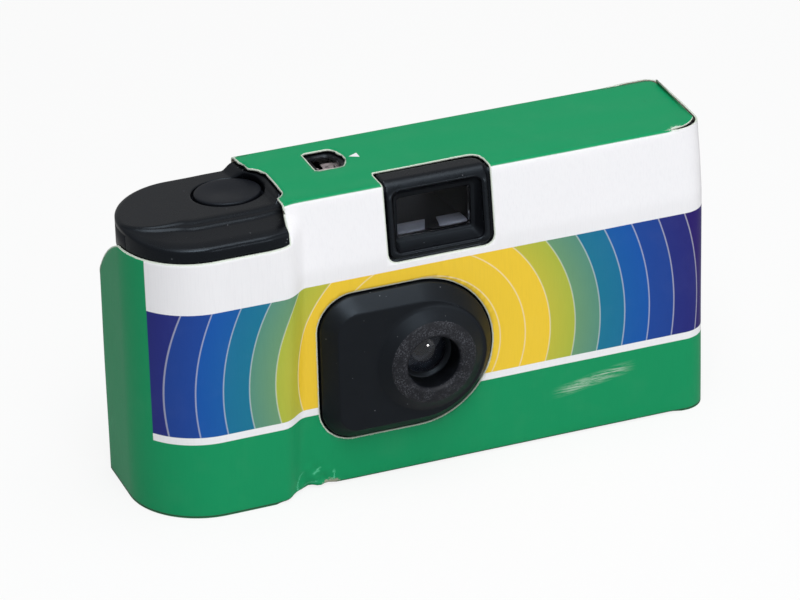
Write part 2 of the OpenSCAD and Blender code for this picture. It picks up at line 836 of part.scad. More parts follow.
// The leaf that keeps the thumb wheel from turning back
module ratchet_pawl() {
    z0 = wheel_z + clear;
    z1 = wheel_z + wheel_t - clear;
    color("#26282d") translate([cass_x, cass_y, 0]) rotate(pawl_angle)
        translate([wheel_r + clear, 0, 0]) union() {
            block([0, -pawl_len, z0], [pawl_t, rib, z1]);
            block([0, -rib, z0], [rib, rib, plate_z]);
        }
}

// The shutter button, with a flange under the pod's top and a boss on the release lever
module shutter_button() {
    color("#1a1c22") union() {
        bar_z(button_x, button_y, button_r, flange_z, pod_top + button_proud);
        bar_z(button_x, button_y, flange_r, flange_z, flange_z + flange_t);
        bar_z(button_x, button_y, button_boss_r, flange_z - button_boss_h, flange_z + eps);
    }
}

module button_spring() {
    color("silver") coil(button_x, button_coil_y, button_coil_r, button_turns, plate_z + plate_t, flange_z);
}

// The lever from the button to the drive lever: a finger, a bar, a stem and an arm
module release_lever() {
    y0 = lever_y;
    y1 = lever_y + lever_t;
    arm_x = drive_x - boss_r - 2 * nose_len;
    color("#4b4e55") difference() {
        union() {
            block([button_x - finger_w / 2, y0, finger_z],
                  [button_x + finger_w / 2, button_y + button_boss_r, finger_z + finger_t]);
            block([button_x - finger_w / 2, y0, finger_z], [release_x + rib, y1, finger_z + finger_t]);
            block([release_x - rib, y0, release_z], [release_x + rib, y1, finger_z + finger_t]);
            block([release_x, y0, release_z - rib], [arm_x, y1, release_z + rib]);
            block([arm_x - 2 * rib, y0, drive_z + rib], [arm_x, y1, release_z + rib]);
            bar_y(release_x, release_z, boss_r, y0, y1);
        }
        bar_y(release_x, release_z, pin_r + fit, y0 - eps, y1 + eps);
    }
}

// The sprung lever that strikes the shutter blade
module drive_lever() {
    y0 = lever_y;
    y1 = lever_y + lever_t;
    tip_x = drive_x + drive_reach;
    color("#4b4e55") difference() {
        union() {
            bar_y(drive_x, drive_z, boss_r, y0, y1);
            block([drive_x, y0, drive_z - rib], [tip_x, y1, drive_z + rib / 2]);
            block([tip_x - 2 * rib, y0, blade_z + lug_z + rib + clear], [tip_x, y1, drive_z]);
            block([drive_x - boss_r - nose_len, y0, drive_z - rib], [drive_x, y1, drive_z + rib / 2]);
        }
        bar_y(drive_x, drive_z, pin_r + fit, y0 - eps, y1 + eps);
    }
}

module drive_spring() {
    color("silver") coil_y(drive_x, drive_z, pin_r + wire, drive_turns, yf + cas + seat, lever_y - seat);
}

// The thin blade that covers the exposure hole, with the lug that is struck
module shutter_blade() {
    y0 = blade_y;
    y1 = blade_y + blade_t;
    dx = lens_x - blade_x;
    dz = lens_z - blade_z;
    arm = sqrt(dx * dx + dz * dz);
    color("#6d7076") difference() {
        union() {
            bar_y(lens_x, lens_z, blade_tip_r, y0, y1);
            bar_y(blade_x, blade_z, blade_boss_r, y0, y1);
            translate([blade_x, 0, blade_z]) rotate([0, atan2(-dz, dx), 0])
                block([0, y0, -rib], [arm, y1, rib]);
            block([blade_x, y0, blade_z], [blade_x + lug_x + rib, y1, blade_z + lug_z / 2]);
            block([blade_x + lug_x - rib, y0, blade_z], [blade_x + lug_x + rib, y1, blade_z + lug_z + rib]);
        }
        bar_y(blade_x, blade_z, blade_pin_r + fit, y0 - eps, y1 + eps);
    }
}

module blade_spring() {
    color("silver")
        coil_y(blade_x, blade_z, blade_pin_r + wire, blade_turns, stop_y + stop_t + seat, blade_y - fit);
}

// The lever whose nose rides on the sprocket's cam and locks it after each picture
module lock_lever() {
    z0 = cam_z;
    z1 = cam_z + cam_t;
    color("#4b4e55") difference() {
        union() {
            bar_z(lock_x, lock_y, boss_r, z0, z1);
            block([lock_x - lock_len, lock_y - lock_w, z0], [lock_x, lock_y, z1]);
            block([lock_x - lock_len, lock_y - rib, z0], [lock_x - lock_len + rib, lock_y + clear / 3, z1]);
        }
        bar_z(lock_x, lock_y, pin_r + fit, z0 - eps, z1 + eps);
    }
}

module lock_spring() {
    z0 = cam_z + cam_t;
    color("silver") coil(lock_x, lock_y, pin_r + wire, lock_turns, z0 + fit, z0 + lock_coil_h);
}

// The thumb wheel, with a ridged rim and the key that turns the cassette's spool
module thumb_wheel() {
    outline = [for (k = [0:2 * wheel_ridges - 1])
        let (r = wheel_r - ridge * (k % 2), a = 180 * k / wheel_ridges) [r * cos(a), r * sin(a)]];
    color("#1b1d22") translate([cass_x, cass_y, 0]) difference() {
        union() {
            translate([0, 0, wheel_z]) linear_extrude(wheel_t) polygon(outline);
            intersection() {
                block([-key_r, -key_t / 2, cass_z1 - cap_t - rib], [key_r, key_t / 2, wheel_z + eps]);
                cylinder(r = key_r, h = body_h);
            }
        }
        translate([0, 0, wheel_z + wheel_t / 2 - seat]) cylinder(r = wheel_pin_r + fit, h = wheel_t);
    }
}

// The cassette's spool, slotted at the top for the wheel's key
module cassette_spool() {
    slot_t = key_t + 2 * seat;
    color("#2b2d33") translate([cass_x, cass_y, 0]) difference() {
        union() {
            translate([0, 0, cass_z0 + cap_t]) cylinder(r = spool_r, h = cassette_h - 2 * cap_t);
            translate([0, 0, cass_z0]) cylinder(r = stub_r, h = cassette_h);
        }
        block([-spool_r, -slot_t / 2, cass_z1 - cap_t - rib - seat], [spool_r, slot_t / 2, cass_z1 + over]);
        translate([0, 0, cass_z0 - eps]) cylinder(r = key_r, h = key_r);
    }
}

// The film already wound on the spool, and the film still to be used
module wound_film() {
    color("#4a3a2a") difference() {
        bar_z(cass_x, cass_y, spool_r + wound_t, film_z - film_w / 2, film_z + film_w / 2);
        bar_z(cass_x, cass_y, spool_r + fit, film_z - film_w / 2 - eps, film_z + film_w / 2 + eps);
    }
}

module film_roll() {
    color("#4a3a2a") difference() {
        bar_z(roll_x, roll_y, roll_r, film_z - film_w / 2, film_z + film_w / 2);
        bar_z(roll_x, roll_y, roll_core_r + fit, film_z - film_w / 2 - eps, film_z + film_w / 2 + eps);
    }
}

module roll_spool() {
    color("#2b2d33") union() {
        bar_z(roll_x, roll_y, roll_core_r, film_z - film_w / 2 - rib, film_z + film_w / 2 + rib);
        bar_z(roll_x, roll_y, roll_pin_r, cas + fit, deck_z + deck_t);
    }
}

// The sprocket on its shaft, with the locking cam and the finger that moves the counter
module sprocket() {
    finger_r = shaft_r + drive_finger;
    finger_hw = drive_finger / 2;
    tooth_w = perf_w - 4 * clear;
    tooth_z = perf_h - 4 * clear;
    color("#303238") translate([sprocket_x, sprocket_y, 0]) difference() {
        union() {
            translate([0, 0, perf_z - sprocket_t / 2])
                cylinder(r = shaft_r, h = counter_z + counter_t - perf_z + sprocket_t / 2);
            translate([0, 0, perf_z - sprocket_t / 2]) cylinder(r = sprocket_r - fit, h = sprocket_t);
            for (k = [0:sprocket_teeth - 1]) rotate(90 + 360 * k / sprocket_teeth)
                translate([sprocket_r + tooth_h / 2 - rib / 2, 0, perf_z])
                    cube([tooth_h + rib, tooth_w, tooth_z], center = true);
            translate([0, 0, cam_z]) cylinder(r = cam_r, h = cam_t);
            rotate(180 + counter_angle)
                block([0, -finger_hw, counter_z], [finger_r, finger_hw, counter_z + counter_t]);
        }
        rotate(-90) block([cam_r - rib, -rib, cam_z - eps], [cam_r + rib, rib, cam_z + cam_t + eps]);
    }
}

// The counter disc, toothed on its rim
module counter_disc() {
    root = counter_r - counter_tooth;
    pitch = 360 / counter_teeth;
    foot_share = 0.45;
    tip_share = 0.2;
    tooth = [[-foot_share, root], [-tip_share, counter_r], [tip_share, counter_r], [foot_share, root]];
    outline = [for (k = [0:counter_teeth - 1])
        each [for (s = tooth)
            let (a = (k + s[0]) * pitch) [s[1] * cos(a), s[1] * sin(a)]]];
    color("#f2efe9") translate([counter_x, counter_y, counter_z]) difference() {
        linear_extrude(counter_t) polygon(outline);
        translate([0, 0, -eps]) cylinder(r = counter_pin_r + fit, h = counter_t + 2 * eps);
    }
}

card_sleeve();
front_casing();
rear_casing();
chassis();
mechanism_plate();
cassette_lid();
film_roll_lid();
counter_window();
finder_front_lens();
finder_rear_lens();
taking_lens();
lens_retainer();
stop_plate();
panorama_mask();
cassette_shell();
cassette_caps();
cassette_felt();
film_strip();
ratchet_pawl();
shutter_button();
button_spring();
release_lever();
drive_lever();
drive_spring();
shutter_blade();
blade_spring();
lock_lever();
lock_spring();
thumb_wheel();
cassette_spool();
wound_film();
sprocket();
counter_disc();
film_roll();
roll_spool();
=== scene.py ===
"""Looks of a disposable film camera: printed card sleeve, black moulded casing, lens, finder and counter.

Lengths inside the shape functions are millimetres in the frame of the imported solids; meshes are in metres.
"""

import math
from types import SimpleNamespace

import bmesh
import bpy
import numpy as np
from bpy.props import FloatProperty, FloatVectorProperty, IntProperty, PointerProperty
from mathutils import Matrix, Vector


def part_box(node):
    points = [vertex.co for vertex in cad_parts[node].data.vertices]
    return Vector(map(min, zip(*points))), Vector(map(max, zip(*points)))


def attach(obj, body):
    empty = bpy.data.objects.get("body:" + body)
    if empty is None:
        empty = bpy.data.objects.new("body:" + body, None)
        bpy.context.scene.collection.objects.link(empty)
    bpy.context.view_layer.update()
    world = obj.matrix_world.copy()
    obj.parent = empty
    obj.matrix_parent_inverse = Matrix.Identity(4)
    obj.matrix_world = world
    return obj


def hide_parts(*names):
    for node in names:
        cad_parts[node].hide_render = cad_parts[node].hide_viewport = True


bl_info = {
    "name": "Disposable film camera",
    "version": (1, 0, 0),
    "blender": (4, 5, 0),
    "location": "View3D > Sidebar > Film camera",
    "description": "Builds the visible pieces of a card-sleeved film camera round its solids",
    "category": "Add Mesh",
}

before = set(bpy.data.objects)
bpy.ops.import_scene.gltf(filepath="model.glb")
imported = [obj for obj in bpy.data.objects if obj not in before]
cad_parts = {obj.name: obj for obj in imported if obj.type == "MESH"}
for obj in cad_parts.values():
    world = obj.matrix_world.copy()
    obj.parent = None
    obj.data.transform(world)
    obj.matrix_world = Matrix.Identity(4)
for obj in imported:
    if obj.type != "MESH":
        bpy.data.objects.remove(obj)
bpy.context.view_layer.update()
MM = 0.001


def box_of(node):
    """The lowest and highest corner of a solid, in millimetres."""
    low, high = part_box(node)
    return np.array(low) / MM, np.array(high) / MM


# Card sleeve: outer faces, corners, the shoulder beside the cassette end, and the lean of the upper front
SLEEVE_LOW, SLEEVE_HIGH = box_of("card_sleeve")
LEFT, RIGHT = SLEEVE_LOW[0], SLEEVE_HIGH[0]
BACK, HEIGHT = SLEEVE_HIGH[1], SLEEVE_HIGH[2]
SWELL = SLEEVE_LOW[1]
BODY_DEPTH = 26.0
FRONT = BACK - BODY_DEPTH
CARD = 0.36
CORNER_FRONT, CORNER_BACK = 5.0, 3.0
SHOULDER_END = LEFT + 31.5
SHOULDER_RUN, SHOULDER_DEPTH = 5.5, 6.0
SHOULDER_TWIST, SHOULDER_TWIST_HALF = 2.4, 5.0
LEAN, LEAN_DEPTH = 2.0, 12.0
LEAN_FROM = HEIGHT - 14.0
LEAN_LEFT, LEAN_FULL = SHOULDER_END - 7.0, SHOULDER_END + 1.0
TUCK_TOP = HEIGHT - 1.0
# Where the card's folds end, by lengths along its outline, and how far they take to fade out
BACK_FOLD_LEFT, BACK_FOLD_RIGHT, BACK_FADE = 47.0, 46.0, 6.0
FRONT_FOLD_LEFT, FRONT_FADE_LEFT, FRONT_FADE_RIGHT = 6.5, 2.0, 3.0
# Bend of the upper film end, by length past the flat front, and the lifted corner of the flap above it
END_LEAN, END_LEAN_AT, END_LEAN_HALF = 0.26, 5.0, 4.5
END_LEAN_FROM = HEIGHT - 8.0
LIFT_HALF, LIFT_IN, LIFT_BACK = 4.5, 0.2, 0.6
# Crushed foot below the shoulder, and its creases, where painted highlights are drawn, each from x and z to x
# and z, with x from its middle
CRUSH_X = SHOULDER_END + 1.5
CRUSH_W, CRUSH_H = 4.0, 4.2
CREASES = (
    (-3.4, 0.4, -3.5, 1.9),
    (-3.5, 2.0, -2.0, 3.8),
    (0.2, 3.0, 1.4, 3.4),
    (0.7, 3.3, 1.6, 4.2),
    (4.0, 0.9, 4.2, 3.0),
    (1.8, 0.7, 3.8, 1.4),
    (-1.6, 0.9, 0.8, 1.3),
)
# Print: rings of colour by distance from the lens, the back's blank field and arrow, and a rubbed spot
RING_COLOURS = (("yellow", 18), ("yellow", 25), ("lime", 30), ("teal", 36), ("blue", 45), ("violet", 57))
RING_REACH = 64.0
FIELD_X, FIELD_Z = (10.0, 50.0), (21.0, 44.0)
ARROW_X, ARROW_Z, ARROW_LENGTH, ARROW_HALF, ARROW_SLOPE = -23.0, 49.0, 5.0, 3.0, 1.2
BACK_PRINT_Y = 6.0
POINTER_GAP, POINTER_LENGTH, POINTER_AHEAD = 4.0, 1.9, 0.4
SCUFF_X, SCUFF_Z = 33.5, 11.0
CRISP = 0.06
# Casing shells behind the card
CASING_OFF, CASING_WALL = 0.6, 1.1
SEAM_Y = FRONT + 8.5
SEAM_GAP = 0.16
# Cassette end, the opening for the thumb and the cut in the card behind it
WHEEL_LOW, WHEEL_HIGH = box_of("thumb_wheel")
CASSETTE_X, CASSETTE_Y, _ = (WHEEL_LOW + WHEEL_HIGH) / 2
END_R = CASSETTE_Y - SWELL
THUMB_W, THUMB_HALF_H, THUMB_R = 22.0, 9.0, 1.0
BITE, BITE_R = 15.0, 30.0
# Shutter button, and the bay in the card beside it
BUTTON_LOW, BUTTON_HIGH = box_of("shutter_button")
BUTTON_X, BUTTON_Y, _ = (BUTTON_LOW + BUTTON_HIGH) / 2
BUTTON_FLANGE = 0.8
BUTTON_R = (BUTTON_HIGH[0] - BUTTON_LOW[0]) / 2 - BUTTON_FLANGE
BUTTON_GAP = 0.5
BUTTON_DEEP = 0.85
BUTTON_MID = BUTTON_Y + 0.3
BAY_RIGHT = BUTTON_X + 7.8
BAY_FRONT = FRONT + 4.7
BAY_BACK = BAY_FRONT + 15.1
BAY_FRONT_R, BAY_BACK_R = 3.0, 4.4
# Shutter pod
POD_EDGE = HEIGHT - 6.5
POD_TOP = HEIGHT - 2.25
POD_END = LEFT + 28.0
POD_END_SLANT, POD_END_SLANT_RUN = 0.14, 6.5
POD_CARD = POD_END + 1.6
POD_CREASE = FRONT + 6.8
SEAM_Z = POD_TOP - 1.35
# Lens, the panel round it and the ring on the panel
LENS_LOW, LENS_HIGH = box_of("taking_lens")
LENS_X, _, LENS_Z = (LENS_LOW + LENS_HIGH) / 2
PANEL_X = LENS_X - 1.4
PANEL_R, PANEL_REACH = 15.4, 20.2
PANEL_UPPER_R, PANEL_LOWER_R = 7.5, 7.0
PANEL_FACE = FRONT - 3.2
PANEL_DEEP = 3.0
RING_TIP = FRONT - 5.6
RING_FOOT_R, RING_CROWN_R, RING_BORE_R = 10.8, 8.4, 5.3
# Finder: the hood in front and the eyepiece behind
FINDER_LOW, FINDER_HIGH = box_of("finder_front_lens")
FINDER_X, _, FINDER_Z = (FINDER_LOW + FINDER_HIGH) / 2
HOOD_HALF = 10.8
HOOD_LOW = HEIGHT - 15.5
HOOD_REACH = 8.0
HOOD_R, HOOD_BACK_LEFT_R, HOOD_BACK_RIGHT_R = 2.0, 0.4, 2.4
HOOD_FAR = 60.0
EYEPIECE_W, EYEPIECE_H, EYEPIECE_R, EYEPIECE_MARGIN = 11.0, 7.6, 0.8, 1.0
# Counter: its window and the disc below
EYE_LOW, EYE_HIGH = box_of("counter_window")
EYE_X, EYE_Y, _ = (EYE_LOW + EYE_HIGH) / 2
EYE_W, EYE_D, EYE_R, EYE_MORE = 6.0, 8.2, 0.5, 0.9
DISC_LOW, DISC_HIGH = box_of("counter_disc")
DISC_X, DISC_Y, _ = (DISC_LOW + DISC_HIGH) / 2
# Columns round a turned piece, and the tint of the gloss on black plastic
ROUND = 128
COOL = (0.72, 0.86, 1.0)


# Settings that a user would change


def length(name, text, millimetres):
    """A length property whose default is given in millimetres."""
    return FloatProperty(name=name, description=text, default=millimetres * MM, unit="LENGTH", precision=5)


def colour(name, text, red, green, blue):
    """A colour property, given as the colour that a screen shows, from 0 to 1."""
    linear = [c / 12.92 if c <= 0.04045 else ((c + 0.055) / 1.055) ** 2.4 for c in (red, green, blue)]
    return FloatVectorProperty(name=name, description=text, default=linear, size=3, subtype="COLOR",
                               min=0, max=1)


class SleeveSettings(bpy.types.PropertyGroup):
    """Sizes of the card and its print."""

    fold: length("Fold radius", "Radius of the folds along the top and the base", 0.8)
    cell: length("Mesh cell", "Spacing of the card's mesh", 0.8)
    wave: length("Waviness", "How far the flat card waves in and out", 0.09)
    crumple: length("Crumple", "Depth of the crushed card below the shoulder", 0.9)
    lift: length("Lifted flap", "How far the top flap lifts at its worn corner", 0.7)
    band_top: length("Band top", "Height of the upper edge of the coloured band", 43.0)
    band_low: length("Band foot", "Height of the lower edge of the coloured band", 17.2)
    stripe: length("Pinstripe", "Width of the white line under the band", 1.5)
    ring_step: length("Ring step", "Width of one colour ring round the lens", 5.2)
    end_print: length("End print", "Where the green of the cassette end stops, from the end", 2.6)


class CasingSettings(bpy.types.PropertyGroup):
    """Sizes of the moulded pieces."""

    pod_round: length("Pod front edge", "Where the pod's front edge has rounded over into its slope", 1.9)
    pod_end_edge: length("Pod end edge", "Width of the pod's rounded edge at the cassette end", 1.0)
    pod_back_edge: length("Pod back edge", "Width of the pod's rounded back edge", 0.9)
    step_run: length("Step fillet", "Width of the hollow that rises to the sleeve's top", 2.2)
    panel_bevel: length("Panel border", "Width of the lens panel's sloping border", 2.6)
    hood_roll: length("Hood roll", "Radius of the finder hood's rolled upper edge", 3.0)
    button_dish: length("Button dish", "Depth of the hollow in the button", 0.28)
    ridges: IntProperty(name="Wheel ridges", description="Ridges round the thumb wheel", default=40, min=20)
    specks: FloatProperty(name="Dust", description="Strength of the dust on black plastic", default=0.55,
                          min=0, max=1)


class CameraColours(bpy.types.PropertyGroup):
    """Colours of the print and of the plastics."""

    green: colour("Green", "Main colour of the print", 0.055, 0.575, 0.365)
    white: colour("White", "Unprinted coated card", 0.945, 0.94, 0.95)
    yellow: colour("Yellow", "Ring nearest the lens", 0.945, 0.79, 0.22)
    lime: colour("Lime", "Ring after the yellow", 0.60, 0.70, 0.27)
    teal: colour("Teal", "Ring after the lime", 0.10, 0.50, 0.55)
    blue: colour("Blue", "Ring after the teal", 0.075, 0.325, 0.66)
    violet: colour("Violet", "Outermost ring", 0.16, 0.10, 0.42)
    edge: colour("Card edge", "Cut edge of the card", 0.86, 0.89, 0.84)
    # Painted highlight: the pale green drawn along the crease ridges of the crushed foot
    crease: colour("Creases", "Stretched ink on the creases of the card", 0.42, 0.86, 0.68)
    board: colour("Card inside", "Uncoated inner face of the card", 0.66, 0.63, 0.57)
    black: colour("Black plastic", "Moulded casing", 0.07, 0.075, 0.095)
    dial: colour("Dial", "Counter disc", 0.86, 0.80, 0.80)
    # Painted shadow: a grey band of shade painted along the foot of the card, where it meets the floor
    soil: colour("Soiled fold", "Grey line along the foot of the card", 0.20, 0.19, 0.18)


class CameraLook(bpy.types.PropertyGroup):
    """All settings of the camera's looks."""

    sleeve: PointerProperty(type=SleeveSettings)
    casing: PointerProperty(type=CasingSettings)
    colours: PointerProperty(type=CameraColours)


def sizes(group):
    """The settings of a group as a plain object, with its lengths in millimetres."""
    found = SimpleNamespace()
    for key, kind in group.__annotations__.items():
        value = getattr(group, key)
        unit = kind.keywords.get("unit")
        setattr(found, key, value / MM if unit == "LENGTH" else value)
    return found


def look():
    """The settings of the open scene."""
    return bpy.context.scene.camera_look


# Meshes from whole arrays


def smooth(low, high, value):
    """0 below low, 1 above high and a smooth cubic between."""
    t = np.clip((value - low) / (high - low), 0.0, 1.0)
    return t * t * (3.0 - 2.0 * t)


def grid_faces(rows, columns, close_rows=False, close_columns=False):
    """The quads of a grid whose vertex (i, j) has number i * columns + j, wrapped where it closes."""
    i = np.arange(rows if close_rows else rows - 1)[:, None]
    j = np.arange(columns if close_columns else columns - 1)[None, :]
    i1, j1 = (i + 1) % rows, (j + 1) % columns
    corners = [i * columns + j, i1 * columns + j, i1 * columns + j1, i * columns + j1]
    return np.stack(np.broadcast_arrays(*corners), axis=-1).reshape(-1, 4)


def put_mesh(name, points, faces, finishes, body, replaced=(), values=None, flip=False):
    """Makes the piece from points in millimetres and faces of four corners, and lets it ride on a body.

    values holds one number for each point under a name, kept as an attribute for the materials.
    """
    points = np.asarray(points, float).reshape(-1, 3)
    faces = np.asarray(faces)[:, ::-1] if flip else np.asarray(faces)
    used, numbers = np.unique(faces, return_inverse=True)
    faces = numbers.reshape(faces.shape)
    mesh = bpy.data.meshes.new(name)
    mesh.from_pydata((points[used] * MM).tolist(), [], faces.tolist())
    for key, number in (values or {}).items():
        layer = mesh.attributes.new(key, "FLOAT", "POINT")
        layer.data.foreach_set("value", np.asarray(number, float).ravel()[used])
    mesh.polygons.foreach_set("use_smooth", np.ones(len(mesh.polygons), bool))
    weld(mesh)
    return add_piece(name, mesh, finishes, body, replaced)


def add_piece(name, mesh, finishes, body, replaced=()):
    """Puts a mesh into the scene with the named finishes, and lets it ride on a body."""
    for finish in finishes:
        mesh.materials.append(finish_of(finish))
    piece = bpy.data.objects.new(name, mesh)
    bpy.context.scene.collection.objects.link(piece)
    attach(piece, body)
    if replaced:
        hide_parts(*replaced)
    return piece


def weld(mesh, gap=0.02):
    """Joins points that lie closer together than the gap, in millimetres, and drops faces that vanish."""
    work = bmesh.new()
    work.from_mesh(mesh)
    bmesh.ops.remove_doubles(work, verts=work.verts, dist=gap * MM)
    bmesh.ops.dissolve_degenerate(work, edges=work.edges, dist=gap * MM / 10)
    work.to_mesh(mesh)
    work.free()


def thicken(piece, thickness, inner=0, rim=0):
    """Gives a sheet its thickness towards the inside, with its own materials inside and on the cut edge."""
    wall = piece.modifiers.new("Thickness", "SOLIDIFY")
    wall.thickness = thickness * MM
    wall.offset = -1.0
    wall.use_rim = True
    wall.material_offset = inner
    wall.material_offset_rim = rim


def narrowest(places):
    """The smaller of the gaps before and after each of a row of numbers."""
    gap = np.abs(np.diff(places))
    return np.minimum(np.append(gap[:1], gap), np.append(gap, gap[-1:]))


def trimmed(u, v, surface, cut):
    """A sheet surface(u, v) on a grid, without the cells where cut(points) is below zero.

    cut is a signed distance. Grid points between kept and dropped cells slide along its slope in u and v,
    by Newton's rule, until they lie on its zero line, so that the rim is as smooth as the drawn outline.
    """
    grid_u, grid_v = np.meshgrid(u, v, indexing="ij")
    mid_u = (grid_u[:-1, :-1] + grid_u[1:, 1:]) / 2
    mid_v = (grid_v[:-1, :-1] + grid_v[1:, 1:]) / 2
    kept = cut(surface(mid_u, mid_v)) > 0
    touched_kept = np.zeros(grid_u.shape, bool)
    touched_cut = np.zeros(grid_u.shape, bool)
    for i, j in ((0, 0), (0, 1), (1, 0), (1, 1)):
        rows = slice(i, grid_u.shape[0] - 1 + i)
        columns = slice(j, grid_u.shape[1] - 1 + j)
        touched_kept[rows, columns] |= kept
        touched_cut[rows, columns] |= ~kept
    rim = touched_kept & touched_cut
    ru, rv = grid_u[rim], grid_v[rim]
    step = 0.01
    reach_u, reach_v = [side[rim] * 0.8 for side in np.meshgrid(narrowest(u), narrowest(v), indexing="ij")]
    start_u, start_v = ru.copy(), rv.copy()
    for _ in range(5):
        here = cut(surface(ru, rv))
        slope_u = (cut(surface(ru + step, rv)) - here) / step
        slope_v = (cut(surface(ru, rv + step)) - here) / step
        steep = np.maximum(slope_u**2 + slope_v**2, 0.05)
        ru = np.clip(ru - here * slope_u / steep, start_u - reach_u, start_u + reach_u)
        rv = np.clip(rv - here * slope_v / steep, start_v - reach_v, start_v + reach_v)
    grid_u[rim], grid_v[rim] = np.clip(ru, u.min(), u.max()), np.clip(rv, v.min(), v.max())
    faces = grid_faces(len(u), len(v))[kept.ravel()]
    return grid_u, grid_v, faces


def steps(a, b, spacing):
    """Evenly spaced numbers from a to b, about that far apart."""
    return np.linspace(a, b, max(2, int(round(abs(b - a) / spacing)) + 1))


def turned(profile, count, axis, centre):
    """A profile of (radius, height) turned about an axis through the centre, as points on a grid.

    Point (i, j) is profile point j at angle i; axis "y" turns about the lens's axis with height towards
    the front, axis "z" about an upright axis with height upwards.
    """
    profile = np.asarray(profile, float)
    angle = np.linspace(0, 2 * np.pi, count, endpoint=False)[:, None]
    radius, height = profile[None, :, 0], profile[None, :, 1]
    across, along = radius * np.cos(angle), radius * np.sin(angle)
    height = np.broadcast_to(height, across.shape)
    if axis == "y":
        parts = (centre[0] + across, -height, centre[1] + along)
    else:
        parts = (centre[0] + across, centre[1] + along, height)
    return np.stack(parts, axis=-1)


def rounded(points, radius, count=6):
    """A profile of straight lines with each corner between its ends replaced by a curve of that radius.

    The curve is the quadratic through the two points at the radius's distance from the corner.
    """
    points = np.asarray(points, float)
    out = [points[:1]]
    for before, corner, after in zip(points[:-2], points[1:-1], points[2:]):
        back, ahead = before - corner, after - corner
        back_length, ahead_length = np.linalg.norm(back), np.linalg.norm(ahead)
        cut = min(radius, back_length * 0.48, ahead_length * 0.48)
        first = corner + back / back_length * cut
        last = corner + ahead / ahead_length * cut
        t = np.linspace(0, 1, count)[:, None]
        out.append((1 - t) ** 2 * first + 2 * t * (1 - t) * corner + t**2 * last)
    out.append(points[-1:])
    return np.concatenate(out)


class Outline:
    """The body's outline seen from above, inset by a distance, as a closed path by its length.

    It runs from the middle of the back to the cassette end, round it, over the shoulder, along the flat
    front, round the film end and home. The shoulder is half a cosine wave; corners are quarter circles.
    """

    def __init__(self, inset, end_back_r):
        quarter = np.linspace(0, np.pi / 2, 90)

        def corner(x, y, radius, start):
            a = start + quarter
            return np.stack([x + radius * np.cos(a), y + radius * np.sin(a)], -1)

        wave = np.linspace(0, 1, 90)
        shoulder = np.stack([SHOULDER_END - SHOULDER_RUN * (1 - wave),
                             SWELL + (FRONT - SWELL) * (1 - np.cos(np.pi * wave)) / 2], -1)
        path = np.concatenate([
            [[0.0, BACK]],
            corner(LEFT + end_back_r, BACK - end_back_r, end_back_r, np.pi / 2),
            corner(LEFT + END_R, SWELL + END_R, END_R, np.pi),
            shoulder,
            corner(RIGHT - CORNER_FRONT, FRONT + CORNER_FRONT, CORNER_FRONT, 1.5 * np.pi),
            corner(RIGHT - CORNER_BACK, BACK - CORNER_BACK, CORNER_BACK, 0.0),
            [[0.0, BACK]],
        ])
        run = np.concatenate([[0], np.cumsum(np.hypot(*np.diff(path, axis=0).T))])
        fresh = np.concatenate([[True], np.diff(run) > 1e-6])
        path, run = path[fresh], run[fresh]
        fine = np.unique(np.concatenate([run, np.arange(0, run[-1], 0.1)]))
        x, y = np.interp(fine, run, path[:, 0]), np.interp(fine, run, path[:, 1])
        self.run = fine
        self.length = run[-1]
        tangent_x, tangent_y = np.gradient(x, fine), np.gradient(y, fine)
        size = np.hypot(tangent_x, tangent_y)
        self.out_x, self.out_y = tangent_y / size, -tangent_x / size
        self.x, self.y = x - inset * self.out_x, y - inset * self.out_y
        self.front_start = self.run_at(SHOULDER_END, FRONT)
        self.front_end = self.run_at(RIGHT - CORNER_FRONT, FRONT)

    def run_at(self, x, y):
        """The length along the path of its point nearest to x and y."""
        return self.run[np.argmin((self.x - x) ** 2 + (self.y - y) ** 2)]

    def at(self, run):
        """Points and outward directions at lengths along the path."""
        parts = [np.interp(run, self.run, values) for values in (self.x, self.y, self.out_x, self.out_y)]
        size = np.hypot(parts[2], parts[3])
        return parts[0], parts[1], parts[2] / size, parts[3] / size


# Signed distances of the cut-outs, below zero inside


def rounded_box(x, y, x0, x1, y0, y1, radius):
    """Signed distance to a rectangle with rounded corners; the radius may differ from point to point."""
    qx = np.abs(x - (x0 + x1) / 2) - (x1 - x0) / 2 + radius
    qy = np.abs(y - (y0 + y1) / 2) - (y1 - y0) / 2 + radius
    outside = np.hypot(np.maximum(qx, 0), np.maximum(qy, 0))
    return np.minimum(np.maximum(qx, qy), 0) + outside - radius


def panel_distance(x, z):
    """Signed distance to the lens panel's outline: a circle on one side, a rounded square on the other."""
    dx, dz = x - PANEL_X, z - LENS_Z
    radius = np.where(dz > 0, PANEL_UPPER_R, PANEL_LOWER_R)
    square = rounded_box(dx, dz, -PANEL_REACH, PANEL_REACH, -PANEL_R, PANEL_R, radius)
    return np.where(dx > 0, np.hypot(dx, dz) - PANEL_R, square)


def eye_distance(x, y, grow):
    """Signed distance to the counter window's outline: three straight sides and one round side."""
    square = rounded_box(x, y, EYE_X - EYE_W / 2 - EYE_MORE - grow, EYE_X + EYE_W / 2 + grow,
                         EYE_Y - EYE_D / 2 - grow, EYE_Y + EYE_D / 2 + grow, EYE_R)
    arc = np.hypot(x - EYE_X + EYE_W / 2, y - EYE_Y) - EYE_W - grow
    return np.maximum(square, arc)


def low_pod_distance(x, y):
    """Signed distance to the low part of the pod: left of its end, the bay beside the button, the front."""
    corner = np.where(y > BUTTON_Y, BAY_BACK_R, BAY_FRONT_R)
    bay = rounded_box(x, y, LEFT, BAY_RIGHT, BAY_FRONT, BAY_BACK, corner)
    front = np.maximum(x - POD_CARD, y - FRONT - HOOD_REACH)
    end = x - POD_END - POD_END_SLANT * np.clip(BACK - y, 0, POD_END_SLANT_RUN)
    return np.minimum(np.minimum(end, bay), front)


